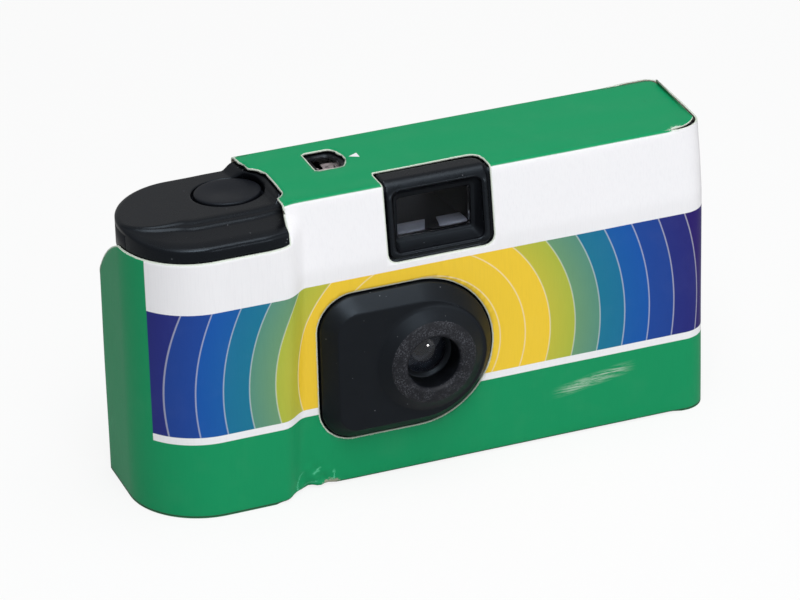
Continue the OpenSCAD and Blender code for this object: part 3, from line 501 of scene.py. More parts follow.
def hood_distance(x, y, z, grow):
    """Signed distance to the finder hood's opening, which runs from the front over the top edge."""
    x0, x1 = FINDER_X - HOOD_HALF - grow, FINDER_X + HOOD_HALF + grow
    face = rounded_box(x, z, x0, x1, HOOD_LOW - grow, HEIGHT + HOOD_FAR, HOOD_R + grow)
    back_r = np.where(x > FINDER_X, HOOD_BACK_RIGHT_R, HOOD_BACK_LEFT_R)
    top = rounded_box(x, y, x0, x1, FRONT - HOOD_FAR, FRONT + HOOD_REACH + grow, back_r)
    return np.maximum(face, top)


def eyepiece_distance(x, y, z, grow):
    """Signed distance to the eyepiece's opening in the back."""
    opening = rounded_box(x, z, FINDER_X - EYEPIECE_W / 2 - grow, FINDER_X + EYEPIECE_W / 2 + grow,
                          FINDER_Z - EYEPIECE_H / 2 - grow, FINDER_Z + EYEPIECE_H / 2 + grow, EYEPIECE_R)
    return np.maximum(opening, CASSETTE_Y - y)


def card_distance(points):
    """Signed distance to all that is cut out of the card."""
    x, y, z = np.moveaxis(points, -1, 0)
    pod = np.maximum(low_pod_distance(x, y), POD_EDGE - z)
    reach = BITE / 2 + math.sqrt((BITE_R**2 - BITE**2 / 2) / 2)
    arc = BITE_R - np.hypot(y - BACK + reach, z - POD_EDGE + reach)
    bite = np.maximum.reduce([arc, x - POD_END, BACK - BITE - y, POD_EDGE - BITE - z])
    panel = np.maximum(panel_distance(x, z), y - FRONT - PANEL_DEEP)
    eye = np.maximum(eye_distance(x, y, 0.0), HEIGHT / 2 - z)
    hood = hood_distance(x, y, z, 0.0)
    return np.minimum.reduce([pod, bite, panel, eye, hood, eyepiece_distance(x, y, z, EYEPIECE_MARGIN)])


def lean_back(points, tuck=None):
    """Moves the upper front back: the shift grows evenly with height and fades out towards the back.

    For the card and the shells, tuck is how far they lie inside the front: their shoulder also moves along
    with height, and beside the pod it is drawn back to the flat front towards the top.
    """
    x, y, z = np.moveaxis(points, -1, 0)
    rise = np.clip((z - LEAN_FROM) / (HEIGHT - LEAN_FROM), 0, 1.05)
    if tuck is not None:
        climb = np.clip(z / POD_EDGE, 0, 1.1) * smooth(FRONT + SHOULDER_DEPTH, FRONT, y)
        middle = SHOULDER_END - SHOULDER_RUN / 2
        x = x + SHOULDER_TWIST * climb * np.exp(-(((x - middle) / SHOULDER_TWIST_HALF) ** 2))
        y = y + np.maximum(FRONT + tuck - y, 0) * smooth(POD_EDGE, TUCK_TOP, z)
    across = smooth(LEAN_LEFT, LEAN_FULL, x)
    depth = np.clip(1 - (y - FRONT) / LEAN_DEPTH, 0, 1)
    return np.stack([x, y + LEAN * rise * across * depth, z], -1)


# Materials


class Paint:
    """A socket of a node tree. Arithmetic on paints adds Math nodes; any other node comes from node()."""

    def __init__(self, tree, socket):
        self.tree = tree
        self.socket = socket

    def link(self, target, value):
        """Puts a paint or a plain value into an input socket."""
        if isinstance(value, Paint):
            self.tree.links.new(value.socket, target)
        elif isinstance(value, (int, float)):
            target.default_value = value
        else:
            target.default_value = (*value, 1.0)[: len(target.default_value)]

    def node(self, kind, settings=None, inputs=None, output=0):
        """Adds a node, sets its settings, fills the named or numbered inputs and returns one output."""
        made = self.tree.nodes.new(kind)
        for key, value in (settings or {}).items():
            if key == "stops":
                ramp = made.color_ramp.elements
                while len(ramp) < len(value):
                    ramp.new(1.0)
                for stop, (place, tint) in zip(ramp, value):
                    stop.position = place
                    stop.color = (*tint, 1.0)
            else:
                setattr(made, key, value)
        for key, value in (inputs or {}).items():
            self.link(made.inputs[key], value)
        return Paint(self.tree, made.outputs[output])

    def math(self, operation, *others):
        """A Math node on this paint and the others."""
        return self.node("ShaderNodeMath", {"operation": operation}, dict(enumerate((self, *others))))

    def __add__(self, other):
        return self.math("ADD", other)

    __radd__ = __add__

    def __mul__(self, other):
        return self.math("MULTIPLY", other)

    __rmul__ = __mul__

    def __sub__(self, other):
        return self.math("SUBTRACT", other)

    def __rsub__(self, other):
        return self.math("MULTIPLY", -1.0) + other

    def __truediv__(self, other):
        return self.math("DIVIDE", other)

    def either(self, other):
        """The larger of two masks."""
        return self.math("MAXIMUM", other)

    def size(self):
        """The value without its sign."""
        return self.math("ABSOLUTE")

    def above(self, edge, soft=0.05):
        """A mask that is 0 below the edge and 1 above it, with a soft border."""
        inputs = {"Value": self, "From Min": edge - soft, "From Max": edge + soft}
        return self.node("ShaderNodeMapRange", {"interpolation_type": "SMOOTHSTEP"}, inputs)

    def below(self, edge, soft=0.05):
        """A mask that is 1 below the edge and 0 above it."""
        return 1.0 - self.above(edge, soft)

    def between(self, low, high, soft=0.05):
        """A mask that is 1 from low to high."""
        return self.above(low, soft) * self.below(high, soft)

    def mix(self, under, over):
        """The colour under where this mask is 0, and the colour over where it is 1."""
        return self.node("ShaderNodeMix", {"data_type": "RGBA"}, {0: self, 6: under, 7: over}, 2)

    def stretched(self, x, y, z):
        """This vector with its three parts multiplied."""
        return self.node("ShaderNodeVectorMath", {"operation": "MULTIPLY"}, {0: self, 1: (x, y, z)})

    def noise(self, scale, detail=2.0, rough=0.5):
        """Noise over this vector, about 0.5."""
        inputs = {"Vector": self, "Scale": scale, "Detail": detail, "Roughness": rough}
        return self.node("ShaderNodeTexNoise", None, inputs)

    def cells(self, scale):
        """Distance to the nearest of scattered points."""
        return self.node("ShaderNodeTexVoronoi", None, {"Vector": self, "Scale": scale})


class Finish:
    """A new material with its shader and the place on the piece in millimetres."""

    def __init__(self, name, **sockets):
        self.material = bpy.data.materials.new(name)
        self.material.use_nodes = True
        tree = self.material.node_tree
        self.shader = tree.nodes["Principled BSDF"]
        start = Paint(tree, None)
        place = start.node("ShaderNodeTexCoord", None, None, "Object")
        self.place = place.stretched(1 / MM, 1 / MM, 1 / MM)
        self.set(**sockets)

    def set(self, **sockets):
        """Fills the shader's sockets; an underscore in a name stands for a space."""
        for key, value in sockets.items():
            self.place.link(self.shader.inputs[key.replace("_", " ")], value)

    def parts(self):
        """The place's x, y and z."""
        split = self.place.node("ShaderNodeSeparateXYZ", None, {0: self.place}).socket.node
        return [Paint(self.place.tree, split.outputs[i]) for i in range(3)]

    def attribute(self, name):
        """A number kept at each point of the mesh."""
        return self.place.node("ShaderNodeAttribute", {"attribute_name": name}, None, "Fac")

    def bump(self, height, millimetres, strength=1.0):
        """Lets a height, from 0 to 1, raise the surface by that much."""
        inputs = {"Height": height, "Strength": strength, "Distance": millimetres * MM}
        self.set(Normal=self.place.node("ShaderNodeBump", None, inputs))


def tint(name):
    """A colour of the settings."""
    return tuple(getattr(look().colours, name))


def shade(rgb, factor):
    """A colour made lighter or darker."""
    return tuple(min(1.0, c * factor) for c in rgb)


def ring_print(finish, x, z, step):
    """Rings of colour about the lens, with a thin pale line between each two.

    The colour follows the distance from the lens's axis, for the most part in whole steps.
    """
    ring = ((x - LENS_X) * (x - LENS_X) + (z - LENS_Z) * (z - LENS_Z)).math("SQRT")
    stepped = (ring / step).math("FLOOR") * step + step / 2
    measure = (stepped * 0.8 + ring * 0.2) / RING_REACH
    stops = [(place / RING_REACH, tint(name)) for name, place in RING_COLOURS]
    rings = finish.place.node("ShaderNodeValToRGB", {"stops": stops}, {0: measure})
    line = ((ring / step).math("FRACT") - 0.5).size().above(0.475, 0.015)
    return (line * 0.35).mix(rings, tint("white"))


def back_print(x, z, ground):
    """The back's white field and its arrow, a triangle with clipped corners, on the ground colour."""
    field = x.between(*FIELD_X, CRISP) * z.between(*FIELD_Z, CRISP)
    arrow = (x - ARROW_X + (z - ARROW_Z).size() * ARROW_SLOPE).below(0.0, 0.08)
    arrow = arrow * x.above(ARROW_X - ARROW_LENGTH, CRISP)
    arrow = arrow * z.between(ARROW_Z - ARROW_HALF, ARROW_Z + ARROW_HALF)
    return arrow.mix(field.mix(ground, tint("white")), tint("white"))


def pointer_print(x, y, z):
    """A mask of the small triangle on the top that points at the counter window."""
    along = x - EYE_X - POINTER_GAP
    aside = (y - EYE_Y + POINTER_AHEAD).size() - along * 0.5
    return along.between(0.0, POINTER_LENGTH) * aside.below(0) * z.above(HEIGHT - 0.3)


def scuffed(finish, x, y, z):
    """A mask of rubbed ink: a slightly slanting patch on the front, broken into fine streaks."""
    level, slant = 0.985, 0.17
    half_length, half_width = 6.5, 0.9
    scuff_x, scuff_z = x - SCUFF_X, z - SCUFF_Z
    along = scuff_x * level + scuff_z * slant
    aside = scuff_z * level - scuff_x * slant
    streaks = finish.place.stretched(0.22, 0.22, 3.4).noise(1.0, 4.0, 0.7)
    patch = along.size().below(half_length, 3.0) * aside.size().below(half_width, 0.8) * y.below(0.0)
    return patch * streaks.above(0.5, 0.1) * 0.6


def creased(ink, x, y, z, fibre, mottle):
    """Draws painted highlights on the creases of the crushed foot: short wavering pale lines along the crease
    ridges.
    """
    for x0, z0, x1, z1 in CREASES:
        run, rise = x1 - x0, z1 - z0
        size = math.hypot(run, rise)
        from_x, from_z = x - (CRUSH_X + x0), z - z0
        along = (from_x * (run / size) + from_z * (rise / size)) / size
        aside = from_x * (rise / size) - from_z * (run / size)
        aside = aside + (fibre - 0.5) * 1.6 + (mottle - 0.5) * 1.5
        # Painted highlight along this crease ridge
        crease = along.between(0.0, 1.0, 0.3) * aside.size().below(0.12, 0.16) * y.below(0.0)
        ink = (crease * fibre.above(0.42, 0.12) * 0.8).mix(ink, tint("crease"))
    return ink


def printed_card():
    """Coated card, printed green, with a white field and rings of colour about the lens.

    The print is drawn in the place's x, y and z. Grain runs upright; ink is worn to the pale board along
    cut edges, folds and scuffs, and a grey line of painted shadow runs along the foot.
    """
    card = sizes(look().sleeve)
    finish = Finish("printed_card", IOR=1.48, Specular_IOR_Level=0.12, Coat_Roughness=0.25)
    x, y, z = finish.parts()
    white, green = tint("white"), tint("green")
    stripe = z.between(card.band_low - card.stripe, card.band_low, CRISP)
    striped = stripe.mix(green, white)
    front = z.above(card.band_low, CRISP).mix(green, ring_print(finish, x, z, card.ring_step))
    front = z.above(card.band_top, CRISP).mix(front, white)
    front = stripe.mix(front, white)
    ink = y.above(BACK_PRINT_Y).mix(front, back_print(x, z, striped))
    film_end = x.above(RIGHT - 0.8) * y.above(FRONT + CORNER_FRONT - 0.4)
    ends = x.below(LEFT + card.end_print).either(film_end)
    ink = ends.mix(ink, x.above(0.0).mix(green, striped))
    ink = finish.attribute("over").above(0.45, 0.12).mix(ink, shade(green, 1.04))
    ink = pointer_print(x, y, z).mix(ink, white)
    grain = finish.place.stretched(5.0, 5.0, 0.22).noise(1.0, 3.0, 0.6)
    mottle = finish.place.noise(0.16, 3.0, 0.55)
    fibre = finish.place.noise(3.2, 4.0, 0.65)
    dulled = finish.place.node("ShaderNodeMix", {"data_type": "RGBA", "blend_type": "MULTIPLY"},
                               {0: 0.09, 6: ink, 7: (0.62, 0.62, 0.66)}, 2)
    ink = (grain - 0.38).above(0.2, 0.16).mix(ink, dulled)
    ink = (mottle.above(0.62, 0.16) * 0.006).mix(ink, white)
    edge_wear = (finish.attribute("rim") - fibre * 0.42).below(0.02, 0.07)
    fold_wear = finish.attribute("worn") + (fibre - 0.5) * 1.1 + (mottle - 0.5) * 0.7
    wear = edge_wear.either(fold_wear.above(0.72, 0.12)).either(scuffed(finish, x, y, z))
    # Painted highlights on the crease ridges of the crushed foot
    ink = creased(ink, x, y, z, fibre, mottle)
    ink = (wear * 0.9).mix(ink, z.below(1.6, 0.3).mix(tint("edge"), tint("board")))
    # Painted shadow: a grey band of shade along the foot, just above the base
    ink = (z.between(0.1, 0.46, 0.08) * 0.75).mix(ink, tint("soil"))
    finish.set(Base_Color=ink, Roughness=0.33 + grain * 0.1 + wear * 0.25, Coat_Weight=0.06 - wear * 0.05)
    finish.bump(grain * 0.3 + fibre * 0.25 - wear * 0.5, 0.035, 0.55)
    return finish.material


def card_edge():
    """Cut edge of the card: pale fibres in thin layers."""
    finish = Finish("card_edge", Roughness=0.85)
    fibre = finish.place.noise(4.5, 4.0, 0.7)
    finish.set(Base_Color=fibre.above(0.5, 0.2).mix(shade(tint("edge"), 0.8), tint("edge")))
    finish.bump(fibre, 0.05, 0.6)
    return finish.material


def card_inside():
    """Uncoated inner face of the card: grey board with dark flecks."""
    finish = Finish("card_inside", Roughness=0.9)
    fleck = finish.place.noise(2.4, 5.0, 0.75)
    finish.set(Base_Color=fleck.above(0.58, 0.1).mix(tint("board"), shade(tint("board"), 0.72)))
    finish.bump(fleck, 0.04, 0.5)
    return finish.material


def moulded(name, rgb, rough, grain, dust=0.0, gloss=0.22):
    """Moulded plastic: fine spark-eroded grain, soft clouds of handling gloss, and dust specks if asked."""
    finish = Finish(name, IOR=1.5, Specular_IOR_Level=gloss, Specular_Tint=COOL)
    fine = finish.place.noise(grain, 3.0, 0.6)
    cloud = finish.place.noise(0.35, 3.0, 0.6)
    base = cloud.mix(shade(rgb, 0.85), shade(rgb, 1.2))
    value = rough + (cloud - 0.5) * 0.16 + (fine - 0.5) * 0.12
    if dust:
        speck = finish.place.cells(0.75).below(0.075, 0.03)
        rare = finish.place.noise(0.5, 1.0).above(0.6, 0.06)
        base = (speck * rare * dust).mix(base, (0.3, 0.31, 0.34))
        value = value + speck * rare * 0.3
    finish.set(Base_Color=base, Roughness=value)
    finish.bump(fine, 0.02, 0.5)
    return finish.material


def rubbed_crown():
    """The lens ring's crown: coarse matt grain whose tops are rubbed pale."""
    finish = Finish("rubbed_crown", IOR=1.5, Specular_IOR_Level=0.25)
    grit = finish.place.noise(3.4, 4.0, 0.75)
    patch = finish.place.noise(0.5, 2.0).above(0.45, 0.15)
    pale = grit.above(0.56, 0.08) * patch * 0.45
    finish.set(Base_Color=pale.mix(black(1.5), (0.15, 0.155, 0.18)), Roughness=0.5 + pale * 0.3)
    finish.bump(grit, 0.06, 0.6)
    return finish.material


def clear_plastic(name, rgb, scratch, bend, alpha=1.0):
    """Clear moulded plastic with faint scratches; a low alpha lets light straight through it."""
    finish = Finish(name, Base_Color=rgb, IOR=bend, Transmission_Weight=1.0, Alpha=alpha)
    lines = finish.place.stretched(0.5, 3.0, 7.0).noise(1.0, 3.0, 0.6)
    finish.set(Roughness=0.02 + lines.above(0.64, 0.05) * scratch)
    return finish.material


def dial_white():
    """The counter disc: satin off-white with a faint warm mottle."""
    finish = Finish("dial_white", IOR=1.46)
    cloud = finish.place.noise(0.7, 3.0)
    finish.set(Base_Color=cloud.mix(shade(tint("dial"), 0.94), tint("dial")), Roughness=0.42 + cloud * 0.1)
    finish.bump(finish.place.noise(6.0), 0.01, 0.4)
    return finish.material


def steel(name, rgb, stretch):
    """Drawn or rolled steel: fine lines along one direction."""
    finish = Finish(name, Metallic=1.0)
    lines = finish.place.stretched(*stretch).noise(1.0, 4.0, 0.6)
    finish.set(Base_Color=lines.mix(shade(rgb, 0.8), rgb), Roughness=0.24 + lines * 0.18)
    finish.bump(lines, 0.01, 0.5)
    return finish.material


def cassette_paint():
    """Lacquered sheet of the film cassette, with fine rub marks."""
    finish = Finish("cassette_paint", IOR=1.5, Coat_Roughness=0.1)
    rub = finish.place.stretched(0.4, 0.4, 6.0).noise(1.0, 4.0, 0.6)
    finish.set(Base_Color=rub.above(0.68, 0.05).mix(shade(tint("green"), 0.55), (0.45, 0.46, 0.46)))
    finish.set(Roughness=0.25 + rub * 0.15, Coat_Weight=0.4 + rub * 0.1)
    return finish.material


def film_base():
    """Film: glossy brown base, with the faint lines of its turns."""
    finish = Finish("film_base", IOR=1.5)
    turns = finish.place.stretched(7.0, 7.0, 0.1).noise(1.0, 2.0)
    brown = turns.mix((0.055, 0.032, 0.018), (0.10, 0.06, 0.034))
    finish.set(Base_Color=brown, Roughness=0.16 + turns * 0.12)
    return finish.material


def felt_black():
    """Plush of the cassette's light trap."""
    finish = Finish("felt_black", Roughness=0.95)
    pile = finish.place.noise(7.0, 3.0, 0.8)
    finish.set(Base_Color=pile.mix((0.004, 0.004, 0.005), (0.03, 0.03, 0.032)))
    finish.bump(pile, 0.1, 0.8)
    return finish.material


def dial_ink():
    """Ink of the counter's numbers."""
    finish = Finish("dial_ink", IOR=1.45)
    spot = finish.place.noise(5.0, 2.0)
    finish.set(Base_Color=spot.mix((0.012, 0.012, 0.014), (0.04, 0.035, 0.035)), Roughness=0.5 + spot * 0.1)
    return finish.material


def black(factor):
    """The black of the settings, made lighter or darker."""
    return shade(tint("black"), factor)


RECIPES = {
    "printed_card": printed_card,
    "card_edge": card_edge,
    "card_inside": card_inside,
    "casing_black": lambda: moulded("casing_black", black(0.55), 0.29, 5.0, look().casing.specks, 0.27),
    "panel_black": lambda: moulded("panel_black", black(0.6), 0.44, 4.0, look().casing.specks, 0.3),
    "button_black": lambda: moulded("button_black", black(1.1), 0.42, 5.5, 0.3),
    "rubbed_crown": rubbed_crown,
    "inner_black": lambda: moulded("inner_black", (0.005, 0.005, 0.006), 0.6, 4.0, 0.0, 0.1),
    "dark_plastic": lambda: moulded("dark_plastic", (0.016, 0.016, 0.019), 0.5, 4.0),
    "ledge_grey": lambda: moulded("ledge_grey", (0.20, 0.205, 0.23), 0.45, 4.0),
    "grey_plastic": lambda: moulded("grey_plastic", (0.10, 0.105, 0.115), 0.42, 4.5),
    "lens_clear": lambda: clear_plastic("lens_clear", (0.74, 0.79, 0.89), 0.1, 1.49),
    "window_clear": lambda: clear_plastic("window_clear", (0.97, 0.98, 1.0), 0.15, 1.2, 0.3),
    "finder_clear": lambda: clear_plastic("finder_clear", (0.86, 0.89, 0.95), 0.2, 1.18),
    "dial_white": dial_white,
    "dial_ink": dial_ink,
    "drawn_steel": lambda: steel("drawn_steel", (0.56, 0.57, 0.59), (1.0, 1.0, 9.0)),
    "blade_steel": lambda: steel("blade_steel", (0.30, 0.31, 0.33), (6.0, 1.0, 1.0)),
    "cassette_paint": cassette_paint,
    "film_base": film_base,
    "felt_black": felt_black,
}
MADE = {}


def finish_of(name):
    """The named finish, made when a piece first asks for it."""
    if name not in MADE:
        MADE[name] = RECIPES[name]()
    return MADE[name]


# Pieces


def joined(sheets, cut):
    """Trims sheets, each of u, v, surface and whether it faces outwards, and joins them into one mesh.

    Each sheet's trimmed grid of u and v comes with the points and faces.
    """
    points, faces, grids, count = [], [], [], 0
    for u, v, surface, outward in sheets:
        grid_u, grid_v, quads = trimmed(u, v, surface, cut)
        grids.append((grid_u, grid_v))
        points.append(surface(grid_u, grid_v).reshape(-1, 3))
        faces.append((quads if outward else quads[:, ::-1]) + count)
        count += len(points[-1])
    return np.concatenate(points), np.concatenate(faces), grids


def sleeve_columns(outline, cell):
    """Lengths along the outline for the card's columns, and the x of those on the straight front.

    The straight back has columns at the same x as the front, so that the top and the base meet both.
    """
    ahead = np.concatenate([steps(SHOULDER_END, 0.0, cell), steps(0.0, RIGHT - CORNER_FRONT, cell)[1:]])
    left_back = -ahead[ahead <= 0][::-1]
    right_back = outline.length - ahead[ahead >= 0][::-1]
    columns = np.concatenate([
        left_back,
        steps(left_back[-1], outline.front_start, cell)[1:-1],
        outline.front_start + ahead - ahead[0],
        steps(outline.front_end, right_back[0], cell)[1:-1],
        right_back,
    ])
    return columns, ahead


def card_wave(x, y, z, amount):
    """Slow waves of flat card: a sum of three sines of place."""
    return amount * (np.sin(0.11 * x + 0.07 * z + 1.3) + 0.7 * np.sin(0.06 * x - 0.17 * z + 0.2 * y)
                     + 0.4 * np.sin(0.31 * x + 0.05 * z + 2.0)) / 2.1


def crushed(points, depth):
    """Dents the card below the shoulder: a ripple inside a round patch at the foot, which also lifts."""
    x, y, z = np.moveaxis(points, -1, 0)
    near = np.exp(-((x - CRUSH_X) / CRUSH_W) ** 2 - (z / CRUSH_H) ** 2) * smooth(FRONT + 7.0, FRONT, y)
    ripple = 0.2 + 0.5 * np.sin(1.7 * x + 1.1 * z + 0.6) + 0.3 * np.sin(0.9 * x - 2.2 * z + 1.0)
    lift = np.exp(-((x - CRUSH_X - 1.0) / 3.2) ** 2) * smooth(3.0, 0.0, z) * smooth(FRONT + 5.0, FRONT, y)
    return points + np.stack([0 * x, depth * near * ripple, 0.35 * depth * lift], -1)


def edge_curves(outline):
    """The front and the back edge of an outline as y for a given x."""
    low, high = np.argmin(outline.x), np.argmax(outline.x)
    ahead = slice(low, high + 1)
    order = np.argsort(outline.x[ahead], kind="stable")
    front_x, front_y = outline.x[ahead][order], outline.y[ahead][order]
    back_x = np.concatenate([outline.x[high:], outline.x[: low + 1]])
    back_y = np.concatenate([outline.y[high:], outline.y[: low + 1]])
    order = np.argsort(back_x, kind="stable")
    back_x, back_y = back_x[order], back_y[order]
    return (lambda x: np.interp(x, front_x, front_y)), (lambda x: np.interp(x, back_x, back_y))


def card_wear(points):
    """How worn the card is: along its folds, falling off over a millimetre, and at two worn corners."""
    x, y, z = np.moveaxis(points, -1, 0)
    reach = 0.8
    flat = np.minimum(z, HEIGHT - z)
    ahead = np.maximum(y - FRONT - LEAN * smooth(LEAN_FROM, HEIGHT, z), 0)
    inward = np.minimum.reduce([ahead, BACK - y, RIGHT - x, x - LEFT])
    edge = np.exp(-np.maximum(flat, inward) / reach)
    film_end = np.exp(-np.hypot(x - RIGHT + 6.5, y - FRONT - 2.4) / 2.2 - (HEIGHT - z) / reach)
    torn = np.exp(-(((x - CRUSH_X - 3.8) / 2.6) ** 2) - (z / 1.9) ** 4)
    foot = torn * smooth(FRONT + 2.5, FRONT + 1.0, y)
    return 0.36 * edge + 0.75 * film_end + 0.95 * foot


class OBJECT_OT_card_sleeve(bpy.types.Operator):
    """Folds the printed card sleeve"""

    bl_idname = "film_camera.card_sleeve"
    bl_label = "Card sleeve"
    fold_cell, end_cell = 0.3, 0.5

    def execute(self, context):
        card = sizes(look().sleeve)
        outline = Outline(0.0, CORNER_BACK)
        columns, ahead = sleeve_columns(outline, card.cell)
        front_edge, back_edge = edge_curves(Outline(card.fold, CORNER_BACK))
        bend = card.fold * np.pi / 2
        upright = HEIGHT - 2 * card.fold
        start, end, whole = outline.front_start, outline.front_end, outline.length

        def folded(run):
            """1 where the card folds over into the top and the base, 0 where the edges are cut."""
            front_from = start - FRONT_FOLD_LEFT
            front = smooth(front_from - FRONT_FADE_LEFT, front_from, run)
            front = front * smooth(end, end - FRONT_FADE_RIGHT, run)
            left = smooth(BACK_FOLD_LEFT + BACK_FADE, BACK_FOLD_LEFT, run)
            right = smooth(whole - BACK_FOLD_RIGHT - BACK_FADE, whole - BACK_FOLD_RIGHT, run)
            return np.maximum(front, left + right)

        def wall(run, height):
            """Upright card that turns inwards on a quarter circle at the top and the foot."""
            x, y, out_x, out_y = outline.at(run)
            over = np.clip((height - upright) / card.fold, 0, np.pi / 2)
            under = np.clip(-height / card.fold, 0, np.pi / 2)
            turn = np.maximum(over, under) * folded(run)
            inset = card.fold * (1 - np.cos(turn))
            z = card.fold + np.clip(height, 0, upright) + card.fold * (np.sin(over) - np.sin(under))
            flat = lean_back(np.stack([x - out_x * inset, y - out_y * inset, z], -1), inset)
            push = card_wave(x, y, z, card.wave) * np.cos(turn)
            near = np.exp(-((run - end - END_LEAN_AT) / END_LEAN_HALF) ** 2)
            lean = END_LEAN * near * smooth(END_LEAN_FROM, HEIGHT + 1.0, z)
            moved = flat + np.stack([out_x, out_y, np.zeros_like(x)], -1) * (push - lean)[..., None]
            return crushed(moved, card.crumple)

        def lid(level, sign):
            """The flat top or base between the two folds: across is 0 at the front and 1 at the back."""
            def surface(x, across):
                y = front_edge(x) * (1 - across) + back_edge(x) * across
                flat = lean_back(np.stack([x, y, np.full_like(x, level)], -1), card.fold)
                fade = smooth(0, 0.12, across) * smooth(1, 0.88, across)
                push = card_wave(x, 3 * y, level, card.wave) * fade
                corner = np.exp(-((x - RIGHT) / LIFT_HALF) ** 2) * smooth(0.5, 0.0, across) * (sign > 0)
                flat[..., 2] += sign * push + corner * card.lift
                flat[..., 0] -= corner * LIFT_IN
                flat[..., 1] += corner * LIFT_BACK
                return crushed(flat, card.crumple)
            return surface

        rows = np.concatenate([steps(-bend, 0, self.fold_cell), steps(0, upright, card.cell)[1:-1],
                               steps(upright, upright + bend, self.fold_cell)])
        film_end = steps(ahead[-1], RIGHT - card.fold, self.end_cell)[1:]
        top_x = np.concatenate([steps(POD_END - 4.0, SHOULDER_END, card.cell)[:-1], ahead, film_end])
        round_end = LEFT + END_R - (END_R - card.fold) * np.cos(np.linspace(0, np.pi / 2, 26))
        shoulder = steps(round_end[-1], SHOULDER_END, card.cell)[1:-1]
        base_x = np.concatenate([round_end, shoulder, ahead, film_end])
        across = np.linspace(0, 1, 33)
        sheets = [(columns, rows, wall, True), (top_x, across, lid(HEIGHT, 1), True),
                  (base_x, across, lid(0.0, -1), False)]
        points, faces, grids = joined(sheets, card_distance)
        run, height = grids[0]
        turned_in = np.maximum(height - upright, -height) / bend * folded(run)
        flaps = [np.ones(grid_x.size) for grid_x, _ in grids[1:]]
        values = {"rim": np.maximum(card_distance(points), 0), "worn": card_wear(points),
                  "over": np.clip(np.concatenate([turned_in.ravel(), *flaps]), 0, 1)}
        piece = put_mesh("card_sleeve_wrap", points, faces, ["printed_card", "card_inside", "card_edge"],
                         "camera", ["card_sleeve"], values)
        thicken(piece, CARD, 1, 2)
        return {"FINISHED"}


def rear_distance(points):
    """Signed distance to the space of the rear casing, behind the seam and below the pod's edge."""
    return np.maximum(SEAM_Y - points[..., 1], points[..., 2] - SEAM_Z)


class OBJECT_OT_casing_shells(bpy.types.Operator):
    """Moulds the two casing shells that the card covers"""

    bl_idname = "film_camera.casing_shells"
    bl_label = "Casing shells"
    inset = CASING_OFF + 0.15
    cell = 1.0
    lids = [box_of("cassette_lid"), box_of("film_roll_lid")]

    def openings(self, points):
        """Signed distance to all that is cut out of the two shells."""
        x, y, z = np.moveaxis(points, -1, 0)
        pod = np.maximum(low_pod_distance(x - 1.0, y), POD_EDGE - 1.4 - z)
        panel = np.maximum(panel_distance(x, z) + 1.2, y - FRONT - PANEL_DEEP - 1.0)
        eye = np.maximum(eye_distance(x, y, -1.0), HEIGHT / 2 - z)
        hood = hood_distance(x, y, z, -0.9)
        thumb = rounded_box(x, z, CASSETTE_X - THUMB_W / 2, CASSETTE_X + THUMB_W / 2,
                            POD_EDGE - THUMB_HALF_H, POD_EDGE + THUMB_HALF_H, THUMB_R)
        thumb = np.maximum(thumb, CASSETTE_Y - y)
        found = [pod, panel, eye, hood, thumb, eyepiece_distance(x, y, z, 0.0)]
        for low, high in self.lids:
            middle, radius = (low + high) / 2, (high[0] - low[0]) / 2
            hole = np.hypot(x - middle[0], y - middle[1]) - radius - 0.1
            found.append(np.maximum(hole, z - HEIGHT / 2))
        return np.minimum.reduce(found)

    def execute(self, context):
        outline = Outline(self.inset, END_R)
        front_edge, back_edge = edge_curves(outline)
        low, high = self.inset, HEIGHT - self.inset
        depth = sizes(look().sleeve).crumple

        def shaped(x, y, z):
            """Points that lean and are dented as the card over them is."""
            return crushed(lean_back(np.stack([x, y, z], -1), self.inset), depth)

        def wall(run, height):
            """The upright wall along the outline."""
            x, y, _, _ = outline.at(run)
            return shaped(x, y, height + np.zeros_like(x))

        def plate(level):
            """The flat top or base: across is 0 at the front and 1 at the back."""
            def surface(x, across):
                y = front_edge(x) * (1 - across) + back_edge(x) * across
                return shaped(x, y, np.full_like(x, level))
            return surface

        columns = steps(0, outline.length, self.cell)
        rows = steps(low, high, self.cell)
        plate_x = np.concatenate([LEFT + END_R - (END_R - low) * np.cos(np.linspace(0, np.pi / 2, 20)),
                                  steps(LEFT + END_R, RIGHT - low, self.cell)[1:]])
        across = np.linspace(0, 1, 27)
        sheets = [(columns, rows, wall, True), (plate_x, across, plate(high), True),
                  (plate_x, across, plate(low), False)]
        halves = (("casing_front_shell", "front_casing", 1), ("casing_rear_shell", "rear_casing", -1))
        for name, node, side in halves:
            def cut(points, side=side):
                """Signed distance to the openings and to the other shell's side of the seam."""
                return np.minimum(self.openings(points), side * rear_distance(points) - SEAM_GAP / 2)

            points, faces, _ = joined(sheets, cut)
            piece = put_mesh(name, points, faces, ["casing_black"], "camera", [node])
            thicken(piece, CASING_WALL)
        return {"FINISHED"}


